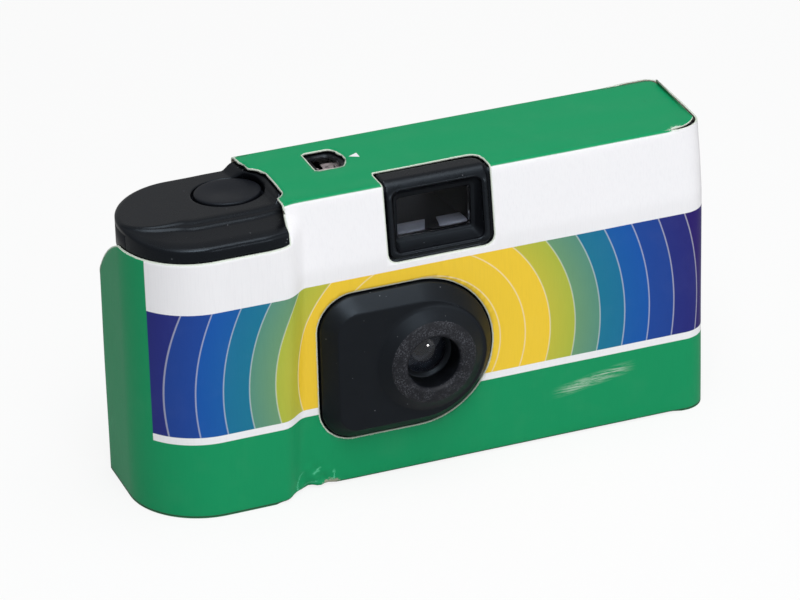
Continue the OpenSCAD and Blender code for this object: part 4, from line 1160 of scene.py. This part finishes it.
class OBJECT_OT_shutter_pod(bpy.types.Operator):
    """Moulds the shutter pod, with its creased front, the button's hole and the seam"""

    bl_idname = "film_camera.shutter_pod"
    bl_label = "Shutter pod"
    radius = END_R - CASING_OFF
    side_x = POD_END + 5.4
    front_end = POD_CARD - 0.1
    foot = POD_EDGE - 1.3
    hole_foot = POD_TOP - 1.6
    lip = 0.3
    wall = 0.9

    def outline(self):
        """The pod's plan and its outward directions: two straight sides, a half circle and a straight end.

        Columns stand at the seam and where the card begins on the front.
        """
        back_y, front_y = CASSETTE_Y + self.radius, CASSETTE_Y - self.radius
        seam = np.arcsin((SEAM_Y - CASSETTE_Y + np.array([1, -1]) * SEAM_GAP / 2) / self.radius)
        angle = np.sort(np.concatenate([np.linspace(np.pi / 2, 1.5 * np.pi, 220), np.pi - seam]))
        away = np.stack([np.cos(angle), np.sin(angle)], -1)
        back_x = np.linspace(self.side_x, CASSETTE_X, 90)[:-1]
        front_x = np.concatenate([np.linspace(CASSETTE_X, self.front_end, 80)[1:],
                                  np.linspace(self.front_end, self.side_x, 24)[1:]])
        side_y = np.linspace(POD_CREASE + 1.3, back_y, 50)[:-1]
        runs = [(np.stack([back_x, np.full_like(back_x, back_y)], -1), (0.0, 1.0)),
                (np.array([CASSETTE_X, CASSETTE_Y]) + self.radius * away, away),
                (np.stack([front_x, np.full_like(front_x, front_y)], -1), (0.0, -1.0)),
                (np.stack([np.full_like(side_y, self.side_x), side_y], -1), (1.0, 0.0))]
        path = np.concatenate([points for points, _ in runs])
        return path, np.concatenate([np.broadcast_to(out, points.shape) for points, out in runs])

    def level(self, xy):
        """The pod's top: a plane that rises in a hollow to the card's edge.

        The hollow is as wide as the settings say behind the button and narrow beside it.
        """
        wide, narrow = sizes(look().casing).step_run, 0.9
        x, y = xy[..., 0], xy[..., 1]
        hollow = narrow + (wide - narrow) * smooth(BAY_BACK - 1.0, BAY_BACK + 2.0, y)
        reach = np.minimum(low_pod_distance(x, y), y - FRONT - HOOD_REACH)
        return POD_TOP + (HEIGHT - CASING_OFF - 0.25 - POD_TOP) * smooth(-hollow, 0.15, reach + 0.35)

    def card_front(self, points):
        """Where the card's inner face stands on the front beside the pod, with a little room."""
        x, z = points[..., 0], points[..., 2]
        outer = edge_curves(Outline(0.0, CORNER_BACK))[0](x - SHOULDER_TWIST)
        return outer + np.maximum(FRONT - outer, 0) * smooth(POD_EDGE, TUCK_TOP, z) + CARD + 0.35

    def edge(self, path, away):
        """How far the rolled edge lies inwards and below the top, for each row and column.

        The front steps down at a crease, slopes forward and rounds into the wall; the other sides are
        quarter ellipses, wider round the cassette end. Both are blended by the outward direction.
        """
        casing = sizes(look().casing)
        crease = POD_CREASE - CASSETTE_Y + self.radius
        front = rounded([[0.0, 3.4], [0.0, 1.75], [casing.pod_round, 1.25], [crease - 2.5, 0.92],
                         [crease - 1.7, 0.5], [crease - 1.0, 0.44], [crease, 0.05], [crease + 0.9, 0.0]], 0.9)
        turn = np.linspace(np.pi / 2, 0, len(front))[:, None]
        ahead = smooth(0.0, 0.9, -away[:, 1])
        end = smooth(0.1, 0.9, -away[:, 0])
        narrow, wide = 0.7, casing.pod_back_edge
        back = narrow + (wide - narrow) * smooth(CASSETTE_X + 8.0, CASSETTE_X + 4.0, path[:, 0])
        width = back + (casing.pod_end_edge - back) * end
        inset = width * (1 - np.sin(turn)) * (1 - ahead) + front[:, :1] * ahead
        drop = 0.6 * width * (1 - np.cos(turn)) * (1 - ahead) + front[:, 1:] * ahead
        shown = np.maximum(smooth(self.side_x - 0.2, self.side_x - 3.6, path[:, 0]), ahead)
        small = np.linspace(0, 0.3, len(front))[:, None]
        return small + (inset - small) * shown, drop * shown + (0.3 - small) * (1 - shown)

    def rows(self, path, away):
        """The pod's rows of points: up the wall, over the edge, in to the button's hole and down into it."""
        inset, drop = self.edge(path, away)
        seam_z = np.minimum(SEAM_Z, self.level(path) - drop[0] - 0.2)
        rows = []
        for z in (self.foot, self.foot + 0.6, POD_EDGE, seam_z - SEAM_GAP / 2, seam_z + SEAM_GAP / 2):
            rows.append(np.column_stack([path, z + np.zeros(len(path))]))
        for inward, down in zip(inset, drop):
            xy = path - away * inward[:, None]
            rows.append(np.column_stack([xy, self.level(xy) - down]))
        rim = rows[-1][:, :2]
        button = np.array([BUTTON_X, BUTTON_MID])
        angle = np.arctan2(rim[:, 1] - BUTTON_MID, (rim[:, 0] - BUTTON_X) * BUTTON_DEEP)
        ray = np.stack([np.cos(angle), np.sin(angle) * BUTTON_DEEP], -1)
        hole_r = BUTTON_R + BUTTON_GAP
        hole = button + ray * (hole_r + self.lip)
        for t in np.linspace(0, 1, 34)[1:]:
            xy = rim * (1 - t) + hole * t
            rows.append(np.column_stack([xy, self.level(xy)]))
        for turn in np.linspace(0, np.pi / 2, 5)[1:]:
            xy = button + ray * (hole_r + self.lip * (1 - np.sin(turn)))
            rows.append(np.column_stack([xy, self.level(xy) - self.lip * (1 - np.cos(turn))]))
        rows.append(np.column_stack([xy, np.full(len(xy), self.hole_foot)]))
        return np.stack(rows)

    def execute(self, context):
        path, away = self.outline()
        points = self.rows(path, away)
        faces = grid_faces(len(points), len(path), close_columns=True)
        middle = points.reshape(-1, 3)[faces].mean(axis=1)
        under_card = points[..., 0] > self.front_end + 0.01
        tucked = np.maximum(points[..., 1], self.card_front(points))
        points[..., 1] = np.where(under_card, tucked, points[..., 1])
        points = lean_back(points)
        row = faces.min(axis=1) // len(path)
        seam_row = 3
        rear_side = (middle[:, 1] > SEAM_Y - SEAM_GAP / 2) & (middle[:, 0] < self.side_x - 0.1)
        rear = rear_side & (row < seam_row) & (middle[:, 1] > SEAM_Y + SEAM_GAP / 2)
        cover = ~(rear_side & (row <= seam_row))
        halves = (("pod_cover", "front_casing", cover), ("pod_back_wall", "rear_casing", rear))
        for name, node, chosen in halves:
            piece = put_mesh(name, points, faces[chosen], ["casing_black"], "camera", [node],
                             flip=True)
            thicken(piece, self.wall)
        return {"FINISHED"}


class OBJECT_OT_shutter_button(bpy.types.Operator):
    """Turns the shutter button"""

    bl_idname = "film_camera.shutter_button"
    bl_label = "Shutter button"

    def execute(self, context):
        dish = sizes(look().casing).button_dish
        top, low = POD_TOP + 0.3, BUTTON_LOW[2]
        flange, flange_top, flange_foot, stem = BUTTON_R + BUTTON_FLANGE, low + 1.3, low + 0.5, 0.8
        radius = np.linspace(0, BUTTON_R - 0.8, 14)
        crown = np.column_stack([radius, top - dish * np.cos(radius / radius[-1] * np.pi / 2) ** 2])
        edge = rounded([crown[-1], [BUTTON_R, top - 0.05], [BUTTON_R, flange_top], [flange, flange_top],
                        [flange, flange_foot], [stem, flange_foot], [stem, low], [0.0, low]], 0.45)
        profile = np.concatenate([crown, edge[1:]])
        points = turned(profile, ROUND, "z", (BUTTON_X, 0.0))
        points[..., 1] = BUTTON_MID + points[..., 1] * BUTTON_DEEP
        put_mesh("button_cap", points, grid_faces(ROUND, len(profile), close_rows=True), ["button_black"],
                 "button", ["shutter_button"], flip=True)
        return {"FINISHED"}


def rectangle_loop(width, height, radius, count=12):
    """A closed loop round a rectangle with rounded corners: four quarter circles joined by straight lines."""
    angle = np.linspace(0, np.pi / 2, count)
    loop = []
    for k, (sx, sz) in enumerate(((1, 1), (-1, 1), (-1, -1), (1, -1))):
        a = angle + k * np.pi / 2
        loop.append(np.column_stack([sx * (width / 2 - radius) + radius * np.cos(a),
                                     sz * (height / 2 - radius) + radius * np.sin(a)]))
    return np.concatenate(loop)


class OBJECT_OT_finder(bpy.types.Operator):
    """Moulds the finder's hood, its recess and the ledges behind the window"""

    bl_idname = "film_camera.finder"
    bl_label = "Viewfinder"
    face_y, top = FRONT + 0.15, HEIGHT - 0.15
    margin, bevel, cell, wall = 0.45, 0.5, 0.24, 0.9
    open_w, open_h, open_r, open_up = 17.8, 11.8, 1.3, 0.45

    def execute(self, context):
        self.hood()
        self.recess()
        self.ledges()
        return {"FINISHED"}

    def inside(self, points):
        """Distance inwards from the hood's outline and from its window."""
        x, y, z = np.moveaxis(points, -1, 0)
        middle = FINDER_Z + self.open_up
        window = rounded_box(x, z, FINDER_X - self.open_w / 2, FINDER_X + self.open_w / 2,
                             middle - self.open_h / 2, middle + self.open_h / 2, self.open_r)
        anything = 9.0
        return np.minimum(-hood_distance(x, y, z, -self.margin), np.where(y < FRONT + 3.0, window, anything))

    def hood(self):
        """A sheet that goes up the front, over a quarter circle and back along the top, with rounded rims."""
        roll = sizes(look().casing).hood_roll
        low = HOOD_LOW + self.margin
        rise = self.top - roll - low
        bend = roll * np.pi / 2
        back = HOOD_REACH - self.margin - roll

        def flat(x, v):
            """The sheet without its rounded rims."""
            angle = np.clip((v - rise) / roll, 0, np.pi / 2)
            y = self.face_y + roll * (1 - np.cos(angle)) + np.maximum(v - rise - bend, 0)
            z = low + np.minimum(v, rise) + roll * np.sin(angle)
            return lean_back(np.stack([x, y, z], -1))

        u = steps(FINDER_X - HOOD_HALF, FINDER_X + HOOD_HALF, self.cell)
        v = steps(0, rise + bend + back, self.cell)
        grid_u, grid_v, faces = trimmed(u, v, flat, self.inside)
        points = flat(grid_u, grid_v)
        near = np.clip(self.bevel - self.inside(points), 0, self.bevel)
        sink = self.bevel - np.sqrt(np.maximum(self.bevel**2 - near**2, 0))
        angle = np.clip((grid_v - rise) / roll, 0, np.pi / 2)
        points = points + np.stack([0 * grid_u, sink * np.cos(angle), -sink * np.sin(angle)], -1)
        piece = put_mesh("finder_hood", points, faces, ["casing_black"], "camera",
                         ["front_casing"])
        thicken(piece, self.wall)

    def recess(self):
        """Rounded rectangles that narrow in steps from the hood's face to the window.

        Each rim has a width, a height, a corner radius, how far it is raised above the window's middle and
        sunk behind the hood's face, and its depth, from 0 at the face to 1 at the window.
        """
        roll = sizes(look().casing).hood_roll
        window_y = FINDER_LOW[1] - 0.2
        rims = [(self.open_w - 0.02, self.open_h - 0.02, self.open_r, self.open_up, 0.42, 0.0),
                (self.open_w - 0.3, self.open_h - 0.3, self.open_r, self.open_up, 0.8, 0.02),
                (16.4, 9.8, 1.0, 0.1, 0.4, 0.72),
                (16.1, 9.5, 0.9, 0.1, 0.0, 0.78),
                (15.1, 8.5, 0.7, 0.0, 0.0, 0.8),
                (14.9, 8.3, 0.6, 0.0, 0.0, 0.86),
                (14.9, 8.3, 0.6, 0.0, 0.0, 1.0),
                (17.5, 10.4, 1.2, 0.0, 0.0, 1.0)]
        loops = []
        for width, height, radius, raised, sunk, depth in rims:
            xz = rectangle_loop(width, height, radius) + [FINDER_X, FINDER_Z + raised]
            turn = np.arcsin(np.clip((xz[:, 1] - self.top + roll) / roll, 0, 1))
            rolled = self.face_y + sunk + roll * (1 - np.cos(turn))
            face = lean_back(np.column_stack([xz[:, 0], rolled, xz[:, 1]]))
            y = face[:, 1] * (1 - depth) + window_y * depth
            loops.append(np.column_stack([xz[:, 0], y, xz[:, 1]]))
        points = np.stack(loops)
        faces = grid_faces(len(loops), points.shape[1], close_columns=True)
        put_mesh("finder_recess", points, faces, ["panel_black"], "camera", ["front_casing"],
                 flip=True)

    def ledges(self):
        """Lays two pale ledges on the floor of the finder's tunnel, behind the window."""
        floor, front, back = FINDER_LOW[2], FINDER_HIGH[1] + 0.15, FINDER_HIGH[1] + 3.6
        rings = [(1.0, floor - 0.1), (1.0, floor + 0.2), (0.97, floor + 0.26), (0.0, floor + 0.26)]
        for name, front_x, back_x in (("finder_ledge_left", (-4.6, 1.3), (-3.4, 2.7)),
                                      ("finder_ledge_right", (4.4, 10.0), (5.0, 10.2))):
            loop = np.array([[front_x[0], front], [front_x[1], front], [back_x[1], back], [back_x[0], back]])
            middle = loop.mean(axis=0)
            points = np.stack([np.column_stack([middle + (loop - middle) * grow, np.full(4, z)])
                               for grow, z in rings])
            put_mesh(name, points, grid_faces(len(rings), 4, close_columns=True), ["ledge_grey"], "camera",
                     flip=True)


def arc_points(radius, start, end):
    """Points on a circle about the origin between two angles."""
    angle = np.linspace(start, end, 200)
    return radius * np.column_stack([np.cos(angle), np.sin(angle)])


def panel_radius(angle, inset):
    """Distance from the lens's axis to the panel's outline, inset, in each direction.

    The outline is one half circle and two quarter circles joined by straight lines.
    """
    right = arc_points(PANEL_R - inset, -np.pi / 2, np.pi / 2)
    top = arc_points(PANEL_UPPER_R - inset, np.pi / 2, np.pi)
    top += [PANEL_UPPER_R - PANEL_REACH, PANEL_R - PANEL_UPPER_R]
    foot = arc_points(PANEL_LOWER_R - inset, np.pi, 1.5 * np.pi)
    foot += [PANEL_LOWER_R - PANEL_REACH, PANEL_LOWER_R - PANEL_R]
    loop = np.concatenate([right, top, foot, right[:1]])
    run = np.concatenate([[0], np.cumsum(np.hypot(*np.diff(loop, axis=0).T))])
    fine = np.linspace(0, run[-1], 4000, endpoint=False)
    x = np.interp(fine, run, loop[:, 0]) + PANEL_X - LENS_X
    z = np.interp(fine, run, loop[:, 1])
    around = np.arctan2(z, x)
    order = np.argsort(around)
    return np.interp(angle, around[order], np.hypot(x, z)[order], period=2 * np.pi)


class OBJECT_OT_lens_panel(bpy.types.Operator):
    """Moulds the lens panel with its ring, the lens's cap and the taking lens"""

    bl_idname = "film_camera.lens_panel"
    bl_label = "Lens panel"
    bore_end = FRONT - 1.05
    rim_y = FRONT + 1.2
    margin, wall = 0.45, 1.0

    def execute(self, context):
        self.panel()
        self.cap()
        self.glass()
        return {"FINISHED"}

    def panel(self):
        """Loops about the lens's axis, from the rim over the border, the face and the ring into the bore.

        Each loop is a distance from the axis in each direction, and a depth. A last pair closes the inside.
        """
        count = 320
        angle = np.linspace(-np.pi, np.pi, count, endpoint=False)
        bevel = self.margin + sizes(look().casing).panel_bevel
        border = rounded([[self.margin, self.rim_y], [self.margin, FRONT - 0.5], [bevel, PANEL_FACE],
                          [bevel + 0.4, PANEL_FACE]], 0.35, 8)
        loops = [(panel_radius(angle, inset), y) for inset, y in border]
        last, foot = loops[-1][0], RING_FOOT_R + 0.7
        loops += [(last * (1 - t) + foot * t, PANEL_FACE) for t in np.linspace(0, 1, 8)[1:]]
        ring = rounded([[foot, PANEL_FACE], [RING_FOOT_R, PANEL_FACE - 0.1],
                        [RING_CROWN_R + 0.25, RING_TIP + 0.65], [RING_CROWN_R - 0.3, RING_TIP + 0.3],
                        [RING_BORE_R + 0.6, RING_TIP - 0.1], [RING_BORE_R + 0.05, RING_TIP + 0.5],
                        [RING_BORE_R - 0.2, self.bore_end]], 0.3, 7)
        loops += [(np.full(count, radius), y) for radius, y in ring[1:]]
        inner = panel_radius(angle, self.margin + self.wall)
        loops += [(np.full(count, 8.0), self.bore_end), (inner, self.bore_end), (inner, self.rim_y)]
        points = np.stack([np.column_stack([LENS_X + radius * np.cos(angle), np.full(count, y),
                                            LENS_Z + radius * np.sin(angle)]) for radius, y in loops], axis=1)
        piece = put_mesh("lens_panel", points, grid_faces(count, len(loops), True, True),
                         ["panel_black", "rubbed_crown"], "camera", ["front_casing"])
        polygons = piece.data.polygons
        centres = np.empty(3 * len(polygons), np.float32)
        polygons.foreach_get("center", centres)
        x, y, z = centres.reshape(-1, 3).T.astype(float) / MM
        radius = np.hypot(x - LENS_X, z - LENS_Z)
        crown = (radius > RING_BORE_R) & (radius < RING_CROWN_R + 0.2) & (y < RING_TIP + 1.0)
        polygons.foreach_set("material_index", crown.astype(np.int32))

    def cap(self):
        """The ring that holds the lens, turned: a cone from its flat front down to the lens."""
        front, lens, seat = -(self.bore_end + 0.15), -LENS_LOW[1], -LENS_HIGH[1]
        inner_r, cone_r, outer_r = 4.25, 5.0, 7.35
        profile = rounded([[inner_r, seat], [inner_r, lens + 0.1], [cone_r, front], [outer_r, front],
                           [outer_r, seat], [inner_r, seat]], 0.2, 5)
        points = turned(profile, ROUND, "y", (LENS_X, LENS_Z))
        faces = grid_faces(ROUND, len(profile), close_rows=True)
        put_mesh("lens_cap_ring", points, faces, ["panel_black"], "camera", ["lens_retainer"],
                 flip=True)

    def glass(self):
        """The lens, turned: a high parabola in front and a shallow one behind."""
        lens_r, dome, hollow = 4.6, 1.7, 0.45
        radius = np.linspace(0, lens_r, 24)
        bulge = 1 - (radius / lens_r) ** 2
        crown = np.column_stack([radius, -LENS_LOW[1] + dome * bulge])
        under = np.column_stack([radius, -LENS_HIGH[1] + hollow * bulge])
        profile = np.concatenate([crown, under[::-1]])
        points = turned(profile, ROUND, "y", (LENS_X, LENS_Z))
        faces = grid_faces(ROUND, len(profile), close_rows=True)
        put_mesh("taking_lens_glass", points, faces, ["lens_clear"], "camera",
                 ["taking_lens"], flip=True)


class OBJECT_OT_thumb_wheel(bpy.types.Operator):
    """Moulds the ridged thumb wheel"""

    bl_idname = "film_camera.thumb_wheel"
    bl_label = "Thumb wheel"
    rim_height, hub_r, ridge_depth = 3.9, 3.0, 0.5

    def execute(self, context):
        ridges = look().casing.ridges
        low, high = WHEEL_HIGH[2] - self.rim_height, WHEEL_HIGH[2]
        outer = WHEEL_HIGH[0] - CASSETTE_X
        count = ridges * 10
        angle = np.linspace(0, 2 * np.pi, count, endpoint=False)[:, None]
        groove = self.ridge_depth * (0.5 - 0.5 * np.cos(ridges * angle)) ** 0.7
        profile = rounded([[self.hub_r, low], [outer, low], [outer, high], [self.hub_r, high]], 0.5)[None]
        rim = smooth(outer - 2.0, outer - 0.6, profile[..., 0])
        radius = profile[..., 0] - groove * rim
        points = np.stack([CASSETTE_X + radius * np.cos(angle), CASSETTE_Y + radius * np.sin(angle),
                           np.broadcast_to(profile[..., 1], radius.shape)], -1)
        put_mesh("thumb_wheel_rim", points, grid_faces(*radius.shape, True, True), ["dark_plastic"], "wheel",
                 ["thumb_wheel"])
        return {"FINISHED"}


def number_faces(number, size):
    """The filled outline of a number, centred across, as flat points and faces."""
    text = bpy.data.curves.new("number", "FONT")
    text.body = str(number)
    text.size = size
    text.align_x = "CENTER"
    holder = bpy.data.objects.new("number", text)
    bpy.context.scene.collection.objects.link(holder)
    bpy.context.view_layer.update()
    made = holder.to_mesh()
    flat = np.array([point.co[:2] for point in made.vertices])
    faces = [list(face.vertices) for face in made.polygons]
    holder.to_mesh_clear()
    bpy.data.objects.remove(holder)
    return flat, faces


class OBJECT_OT_counter_numbers(bpy.types.Operator):
    """Prints the numbers and ticks on the counter disc"""

    bl_idname = "film_camera.counter_numbers"
    bl_label = "Counter numbers"
    marks, number_size, number_r = 20, 1.5, 3.9
    tick_half, tick_in, tick_out = 0.12, 4.0, 5.2
    face_in, face_out = 2.0, 6.3

    def execute(self, context):
        gap, columns = 0.02, 96
        low, top = DISC_HIGH[2] + gap, DISC_HIGH[2] + 0.56
        plate = rounded([[self.face_in, top], [self.face_out, top], [self.face_out, low],
                         [self.face_in, low]], 0.12)
        points = turned(plate, columns, "z", (DISC_X, DISC_Y))
        put_mesh("counter_face", points, grid_faces(columns, len(plate), True, True), ["dial_white"],
                 "counter", flip=True)
        tick = np.array([[-self.tick_half, self.tick_in], [self.tick_half, self.tick_in],
                         [self.tick_half, self.tick_out], [-self.tick_half, self.tick_out]])
        points, faces, count = [], [], 0
        for mark in range(self.marks):
            if mark % 2:
                flat, outlines = tick, [[0, 1, 2, 3]]
            else:
                flat, outlines = number_faces(mark, self.number_size)
                flat = flat + [0, self.number_r]
            turn = 2 * math.pi * mark / self.marks
            across, along = math.cos(turn), math.sin(turn)
            spun = flat @ np.array([[across, along], [-along, across]])
            points.append(np.column_stack([spun + [DISC_X, DISC_Y], np.full(len(spun), top + gap)]))
            faces += [[corner + count for corner in outline] for outline in outlines]
            count += len(spun)
        mesh = bpy.data.meshes.new("counter_numbers")
        mesh.from_pydata((np.concatenate(points) * MM).tolist(), [], faces)
        add_piece("counter_numbers", mesh, ["dial_ink"], "counter")
        return {"FINISHED"}


NODE_FINISHES = {
    "inner_black": ("chassis",),
    "dark_plastic": ("mechanism_plate", "stop_plate", "panorama_mask", "ratchet_pawl", "cassette_spool",
                     "roll_spool"),
    "casing_black": ("cassette_lid", "film_roll_lid"),
    "grey_plastic": ("release_lever", "drive_lever", "lock_lever", "sprocket"),
    "window_clear": ("counter_window",),
    "finder_clear": ("finder_front_lens", "finder_rear_lens"),
    "dial_white": ("counter_disc",),
    "drawn_steel": ("button_spring", "drive_spring", "blade_spring", "lock_spring", "cassette_caps"),
    "blade_steel": ("shutter_blade",),
    "cassette_paint": ("cassette_shell",),
    "felt_black": ("cassette_felt",),
    "film_base": ("film_strip", "wound_film", "film_roll"),
}


class OBJECT_OT_inner_finishes(bpy.types.Operator):
    """Finishes the solids that show as they are"""

    bl_idname = "film_camera.inner_finishes"
    bl_label = "Inner finishes"

    def execute(self, context):
        for finish, nodes in NODE_FINISHES.items():
            for node in nodes:
                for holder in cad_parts[node].material_slots:
                    holder.material = finish_of(finish)
        return {"FINISHED"}


# Camera, light and floor

# The photograph's view: angles in degrees, focal length and middle in pixels, pixels for a millimetre
VIEW_AZIMUTH, VIEW_ELEVATION, VIEW_ROLL = 20.799, 27.005, 1.4441
VIEW_FOCUS, VIEW_SCALE = 4560.38, 5.20303
VIEW_X, VIEW_Y = 406.7106, 296.1567
PHOTO_W, PHOTO_H = 800, 600
SENSOR = 36.0
FLOOR_REACH, FLOOR_DROP = 3.0, 0.0002
# Lamps: name, place from the body's middle and size in metres, power and colour
LAMPS = (
    ("key", (-0.12, -0.5, 0.85), 0.45, 4.8, (0.95, 0.98, 1.0)),
    ("spark", (0.36, -0.93, 0.08), 0.13, 1.0, (1.0, 1.0, 1.0)),
    ("top", (0.1, -0.1, 0.95), 0.6, 3.6, (1.0, 1.0, 1.0)),
    ("fill", (0.6, -0.6, 0.25), 0.6, 0.6, (1.0, 0.99, 0.97)),
)


def rays(tree):
    """Masks of a node tree's rays from the camera, from gloss and through glass."""
    found = tree.nodes.new("ShaderNodeLightPath").outputs
    return [Paint(tree, found[name]) for name in ("Is Camera Ray", "Is Glossy Ray", "Is Transmission Ray")]


def studio_white(name, level):
    """A pale surface that the camera and glass see as nearly white and gloss as a grey, with its shadow."""
    material = bpy.data.materials.new(name)
    material.use_nodes = True
    tree = material.node_tree
    start = Paint(tree, None)
    shader = tree.nodes["Principled BSDF"]
    speck = start.node("ShaderNodeTexCoord", None, None, "Object").noise(3.0, 2.0)
    start.link(shader.inputs["Base Color"], speck.mix((0.86, 0.86, 0.86), (0.88, 0.88, 0.88)))
    start.link(shader.inputs["Roughness"], 0.9)
    camera, gloss, glass = rays(tree)
    glow = start.node("ShaderNodeEmission", None, {"Color": (1, 1, 1), "Strength": 1.0 - gloss * 0.6})
    share = (camera.either(glass) * level).either(gloss)
    mixed = start.node("ShaderNodeMixShader", None, {0: share, 1: Paint(tree, shader.outputs[0]), 2: glow})
    start.link(tree.nodes["Material Output"].inputs["Surface"], mixed)
    return material


class OBJECT_OT_stage(bpy.types.Operator):
    """Sets up the floor, the lights and the camera"""

    bl_idname = "film_camera.stage"
    bl_label = "Stage"
    centre = np.array([0.0, (FRONT + BACK) / 2, HEIGHT / 2]) * MM

    def execute(self, context):
        scene = context.scene
        self.floor(scene)
        self.sky(scene)
        self.lamps(scene)
        self.camera(scene)
        scene.view_settings.view_transform = "Standard"
        return {"FINISHED"}

    def floor(self, scene):
        """A square floor just below the base."""
        mesh = bpy.data.meshes.new("floor")
        signs = ((-1, -1), (1, -1), (1, 1), (-1, 1))
        corners = [(x * FLOOR_REACH, y * FLOOR_REACH, -FLOOR_DROP) for x, y in signs]
        mesh.from_pydata(corners, [], [(0, 1, 2, 3)])
        mesh.materials.append(studio_white("floor_white", 0.85))
        floor = bpy.data.objects.new("floor", mesh)
        scene.collection.objects.link(floor)

    def sky(self, scene):
        """A dim even light, which the camera and glass see as white."""
        scene.world = bpy.data.worlds.new("studio")
        scene.world.use_nodes = True
        tree = scene.world.node_tree
        camera, gloss, glass = rays(tree)
        seen = camera.either(gloss * 0.2).either(glass)
        backdrop = tree.nodes["Background"]
        seen.link(backdrop.inputs["Color"], (1.0, 1.0, 1.0))
        seen.link(backdrop.inputs["Strength"], 0.25 + seen * 0.75)

    def lamps(self, scene):
        """Square lamps that face the body's middle."""
        for name, place, size, power, light in LAMPS:
            data = bpy.data.lights.new(name, "AREA")
            data.size = size
            data.energy = power
            data.color = light
            lamp = bpy.data.objects.new(name, data)
            lamp.location = self.centre + np.array(place)
            aim = Vector(self.centre) - lamp.location
            lamp.rotation_euler = aim.to_track_quat("-Z", "Y").to_euler()
            scene.collection.objects.link(lamp)

    def camera(self, scene):
        """Stands the camera at the photograph's bearing, height, roll, distance and framing."""
        bearing, height, roll = np.radians([VIEW_AZIMUTH, VIEW_ELEVATION, VIEW_ROLL])
        north, east = np.cos(bearing), np.sin(bearing)
        right = np.array([north, -east, 0])
        up = np.array([east * np.sin(height), north * np.sin(height), np.cos(height)])
        back = np.array([-east * np.cos(height), -north * np.cos(height), np.sin(height)])
        turn = np.eye(4)
        turn[:3, 0] = right * np.cos(roll) - up * np.sin(roll)
        turn[:3, 1] = right * np.sin(roll) + up * np.cos(roll)
        turn[:3, 2] = back
        turn[:3, 3] = self.centre + back * VIEW_FOCUS / VIEW_SCALE * MM
        data = bpy.data.cameras.new("camera")
        data.sensor_width = SENSOR
        data.lens = VIEW_FOCUS / PHOTO_W * SENSOR
        data.shift_x = (PHOTO_W / 2 - VIEW_X) / PHOTO_W
        data.shift_y = (VIEW_Y - PHOTO_H / 2) / PHOTO_W
        data.clip_start, data.clip_end = 0.01, 20.0
        eye = bpy.data.objects.new("camera", data)
        eye.matrix_world = Matrix(turn.tolist())
        scene.collection.objects.link(eye)
        scene.camera = eye


class VIEW3D_PT_film_camera(bpy.types.Panel):
    """Lists the pieces and their settings"""

    bl_label = "Film camera"
    bl_space_type = "VIEW_3D"
    bl_region_type = "UI"
    bl_category = "Film camera"

    def draw(self, context):
        for group in (look().sleeve, look().casing, look().colours):
            box = self.layout.box()
            for key in group.__annotations__:
                box.prop(group, key)
        for operator in OPERATORS:
            self.layout.operator(operator.bl_idname)


OPERATORS = (OBJECT_OT_card_sleeve, OBJECT_OT_casing_shells, OBJECT_OT_shutter_pod, OBJECT_OT_shutter_button,
             OBJECT_OT_finder, OBJECT_OT_lens_panel, OBJECT_OT_thumb_wheel, OBJECT_OT_counter_numbers,
             OBJECT_OT_inner_finishes, OBJECT_OT_stage)
CLASSES = (SleeveSettings, CasingSettings, CameraColours, CameraLook, *OPERATORS, VIEW3D_PT_film_camera)


def register():
    """Adds the classes and the scene's settings."""
    for item in CLASSES:
        bpy.utils.register_class(item)
    bpy.types.Scene.camera_look = PointerProperty(type=CameraLook)


def unregister():
    """Removes them again."""
    del bpy.types.Scene.camera_look
    for item in reversed(CLASSES):
        bpy.utils.unregister_class(item)


def main():
    """Builds every piece in order."""
    register()
    for operator in OPERATORS:
        group, name = operator.bl_idname.split(".")
        getattr(getattr(bpy.ops, group), name)()


if __name__ == "__main__":
    main()
